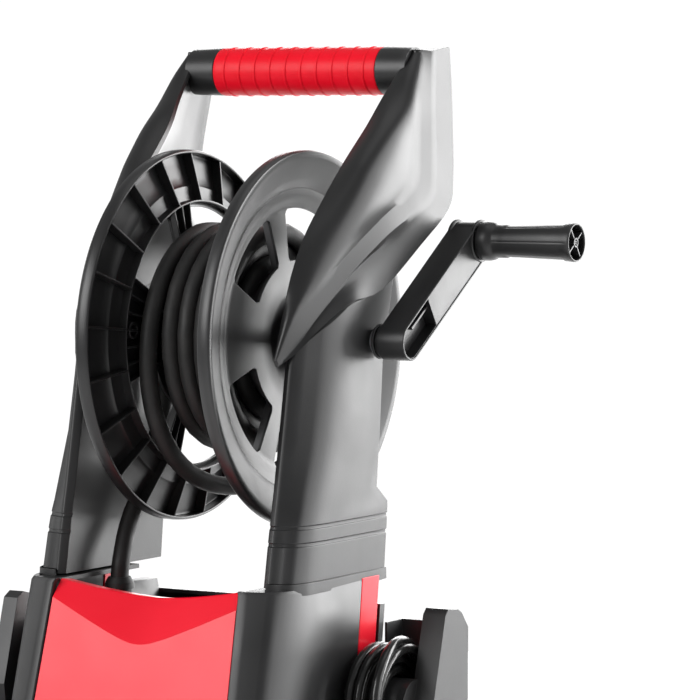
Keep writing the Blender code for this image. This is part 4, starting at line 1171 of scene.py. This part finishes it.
def casing_top_outline():
    """The flat top of the right casing, inboard to the strut's inner face."""
    outline = [(point.x - 0.001, point.y + 0.001) for point in casing_section(BODY_TOP)[3:]]
    return [(0.0740, -0.0990), *outline, (0.0740, 0.0045)]


def add_sleeve(shape):
    """The low wall round the outside of the strut's foot."""
    foot = strut_section(STRUT_LEVELS[0])[2:-2]
    middle = Vector((0.0900, -0.0500, 0))
    rows = []
    for z, gap, thick in SLEEVE_LEVELS:
        inner = []
        outer = []
        for x, y, _ in foot:
            point = Vector((x, y + REEL.y, 0))
            away = (point - middle).normalized()
            near = point + away * gap
            far = point + away * (gap + thick)
            inner.append((near.x, near.y, z))
            outer.append((min(far.x, SIDE_HALF - 0.0003), far.y, z))
        rows.append([*inner, *reversed(outer)])
    shape.grid(rows, closed=True)


def make_side_trim(side):
    """The red strip between the side and rear casings, with a small round over its edges."""
    shape = Shape()
    rows = []
    for z in (0.1160, 0.3000, 0.5045):
        y = trim_y(z) + 0.0006
        s = SIDE_HALF
        section = [(s - 0.004, y), (s - 0.0006, y), (s, y + 0.0006), (s + 0.0006, y + 0.012)]
        section += [(s + 0.0004, y + 0.0222), (s - 0.0003, y + 0.0229), (s - 0.004, y + 0.0229)]
        rows.append([(x, v, z) for x, v in section])
    shape.grid(rows, closed=True)
    nodes = [f"side_trim_{side}"]
    shape.piece(f"side_trim_{side}_strip", "red", "machine", nodes, (0.0004,), side == "left")


# Red front panel

PANEL_BOTTOM = 0.270
PANEL_FOLD_LOW = 0.440
PANEL_BACK_Y = -0.0740
SADDLE_DEPTH = 0.0095
FACET_LEAN = 0.62
CREASE_LOW = 0.4655
CREASE_RISE = 0.0270
CREASE_SOFTNESS = 0.035
PANEL_COLUMNS = 48


def panel_top(u):
    return BODY_TOP - 0.0012 - SADDLE_DEPTH * (1 - abs(u) ** 1.5)


def panel_crease(u):
    """Two straight creases from the top corners, meeting softly low in the middle, where u is 0."""
    lowest = math.sqrt(CREASE_SOFTNESS)
    soft = math.sqrt(u**2 + CREASE_SOFTNESS) - lowest
    return CREASE_LOW + CREASE_RISE * soft / (math.sqrt(1 + CREASE_SOFTNESS) - lowest)


def panel_point(u, z):
    """A point of the front, u from -1 to 1 across it. What is above the crease leans back."""
    half = front_half(z) - PILLAR - 0.0005
    lean = FACET_LEAN * max(0.0, z - panel_crease(u))
    return Vector((u * half, front_y(z) + 0.0008 + lean, z))


def make_front_panel():
    """The main face, the facet that leans back above its creases, and the turned-over saddle edge."""
    columns = [2 * i / PANEL_COLUMNS - 1 for i in range(PANEL_COLUMNS + 1)]
    creases = [panel_crease(u) for u in columns]
    rows = []
    for step in range(15):
        heights = [PANEL_BOTTOM + step / 14 * (crease - PANEL_BOTTOM) for crease in creases]
        rows.append([panel_point(u, z) for u, z in zip(columns, heights)])
    for step in range(1, 7):
        heights = [low + (panel_top(u) - low) * step / 6 for u, low in zip(columns, creases)]
        rows.append([panel_point(u, z) for u, z in zip(columns, heights)])
    edge = rows[-1]
    rows.append([point + Vector((0, 0.0010, 0.0006)) for point in edge])
    rows.append([point + Vector((0, 0.0120, -0.0006)) for point in edge])
    for drop in (0.0030, 0.0055):
        rows.append([Vector((p.x, max(p.y + 0.020, PANEL_BACK_Y), p.z - drop)) for p in edge])
    rows.append([point + Vector((0, 0.0050, -0.0040)) for point in edge])
    rows.append([Vector((p.x, front_y(PANEL_FOLD_LOW) + 0.0060, PANEL_FOLD_LOW)) for p in edge])
    rows.append([point + Y_AXIS * 0.0030 for point in rows[0]])
    shape = Shape()
    made = shape.grid(rows)
    for i in range(PANEL_COLUMNS):
        shape.bm.faces.new((made[-1][i], made[-1][i + 1], made[0][i + 1], made[0][i]))
    for column in (0, PANEL_COLUMNS):
        shape.bm.faces.new([row[column] for row in made])
    bevel = (0.0004, 2, 40)
    crisp = math.radians(16)
    shape.piece("front_panel_shell", "red", "machine", ["front_panel"], bevel, smooth_angle=crisp)


for make_side in (make_casing, make_side_trim):
    make_side("right")
    make_side("left")
make_front_panel()


# Collars at the grip's ends

COLLAR_PROFILE = (
    (0.0128, 0.0668), (0.0166, 0.0668), (0.0170, 0.0673), (0.0170, 0.0700), (0.0168, 0.0780),
    (0.0165, 0.0860), (0.0163, 0.0905), (0.0128, 0.0905), (0.0128, 0.0668),
)


def make_collar(side):
    shape = Shape((0, GRIP_MIDDLE.y, GRIP_MIDDLE.z))
    shape.turned(COLLAR_PROFILE, 56)
    node = f"grip_collar_{side}"
    shape.piece(f"{node}_sleeve", "black", "machine", [node], mirror=side == "left")


make_collar("right")
make_collar("left")


# The deck and the rear casing, whose tops sink so that they stay below the panel's saddle

SUNK_ABOVE = 0.480
SUNK_FRONT = -0.0900
SUNK_LENGTH = 0.19
SUNK_FRONT_DROP = 0.0110
SUNK_DROP = 0.0255


def sunk(node, half):
    """A copy of the node whose top sinks within half of the middle, deeper towards the back."""
    shape = copied(node)
    for place in (-half, 0.004 - half, half - 0.004, half):
        every = [*shape.verts, *shape.edges, *shape.faces]
        bmesh.ops.bisect_plane(shape, geom=every, plane_co=(place, 0, 0), plane_no=X_AXIS, dist=WELD)
    for vert in shape.verts:
        if vert.co.z < SUNK_ABOVE or abs(vert.co.x) > half - 0.003:
            continue
        back = min(max((vert.co.y - SUNK_FRONT) / SUNK_LENGTH, 0.0), 1.0)
        vert.co.z -= SUNK_FRONT_DROP + (SUNK_DROP - SUNK_FRONT_DROP) * back
    make_piece(f"{node}_shell", smooth_mesh(node, shape), "black", "machine", [node])


sunk("top_deck", 0.0740)
sunk("rear_casing", 0.2)


# Everything else from CAD

PLAIN_NODES = {
    ("black", "machine"): (
        "base", "cord_hook", "gun_body", "gun_holder", "lower_front_cover", "switch_bezel",
    ),
    ("black", "reel"): ("crank_washer",),
    ("black", "tank_cap"): ("detergent_cap",),
    ("black", "nozzle"): ("lance_nozzle",),
    ("brass", "machine"): ("reel_elbow", "water_inlet"),
    ("cast", "machine"): ("motor", "pump_head"),
    ("grey", "machine"): ("axle_bush",),
    ("red", "switch"): ("switch_knob",),
    ("red", "trigger"): ("gun_trigger",),
    ("reel", "reel"): ("reel_drum",),
    ("rubber", "machine"): ("front_foot_left", "front_foot_right", "hose_grommet"),
    ("steel", "machine"): ("gun_lance", "handle_tube", "wheel_axle"),
    ("steel", "reel"): ("crank_pin", "reel_axle"),
    ("tank", "machine"): ("detergent_tank",),
}
UNBEVELLED = ("hose_grommet", "reel_elbow", "handle_tube", "reel_axle", "wheel_axle")
PLAIN_BEVEL = 0.0006

for (plain_look, plain_body), plain_nodes in PLAIN_NODES.items():
    for plain_node in plain_nodes:
        refined(plain_node, plain_look, plain_body, 0 if plain_node in UNBEVELLED else PLAIN_BEVEL)

for side_name in ("left", "right"):
    for part, part_look in (("cap", "red"), ("hub", "black"), ("tyre", "tyre")):
        refined(f"wheel_{part}_{side_name}", part_look, f"{side_name}_wheel", PLAIN_BEVEL)
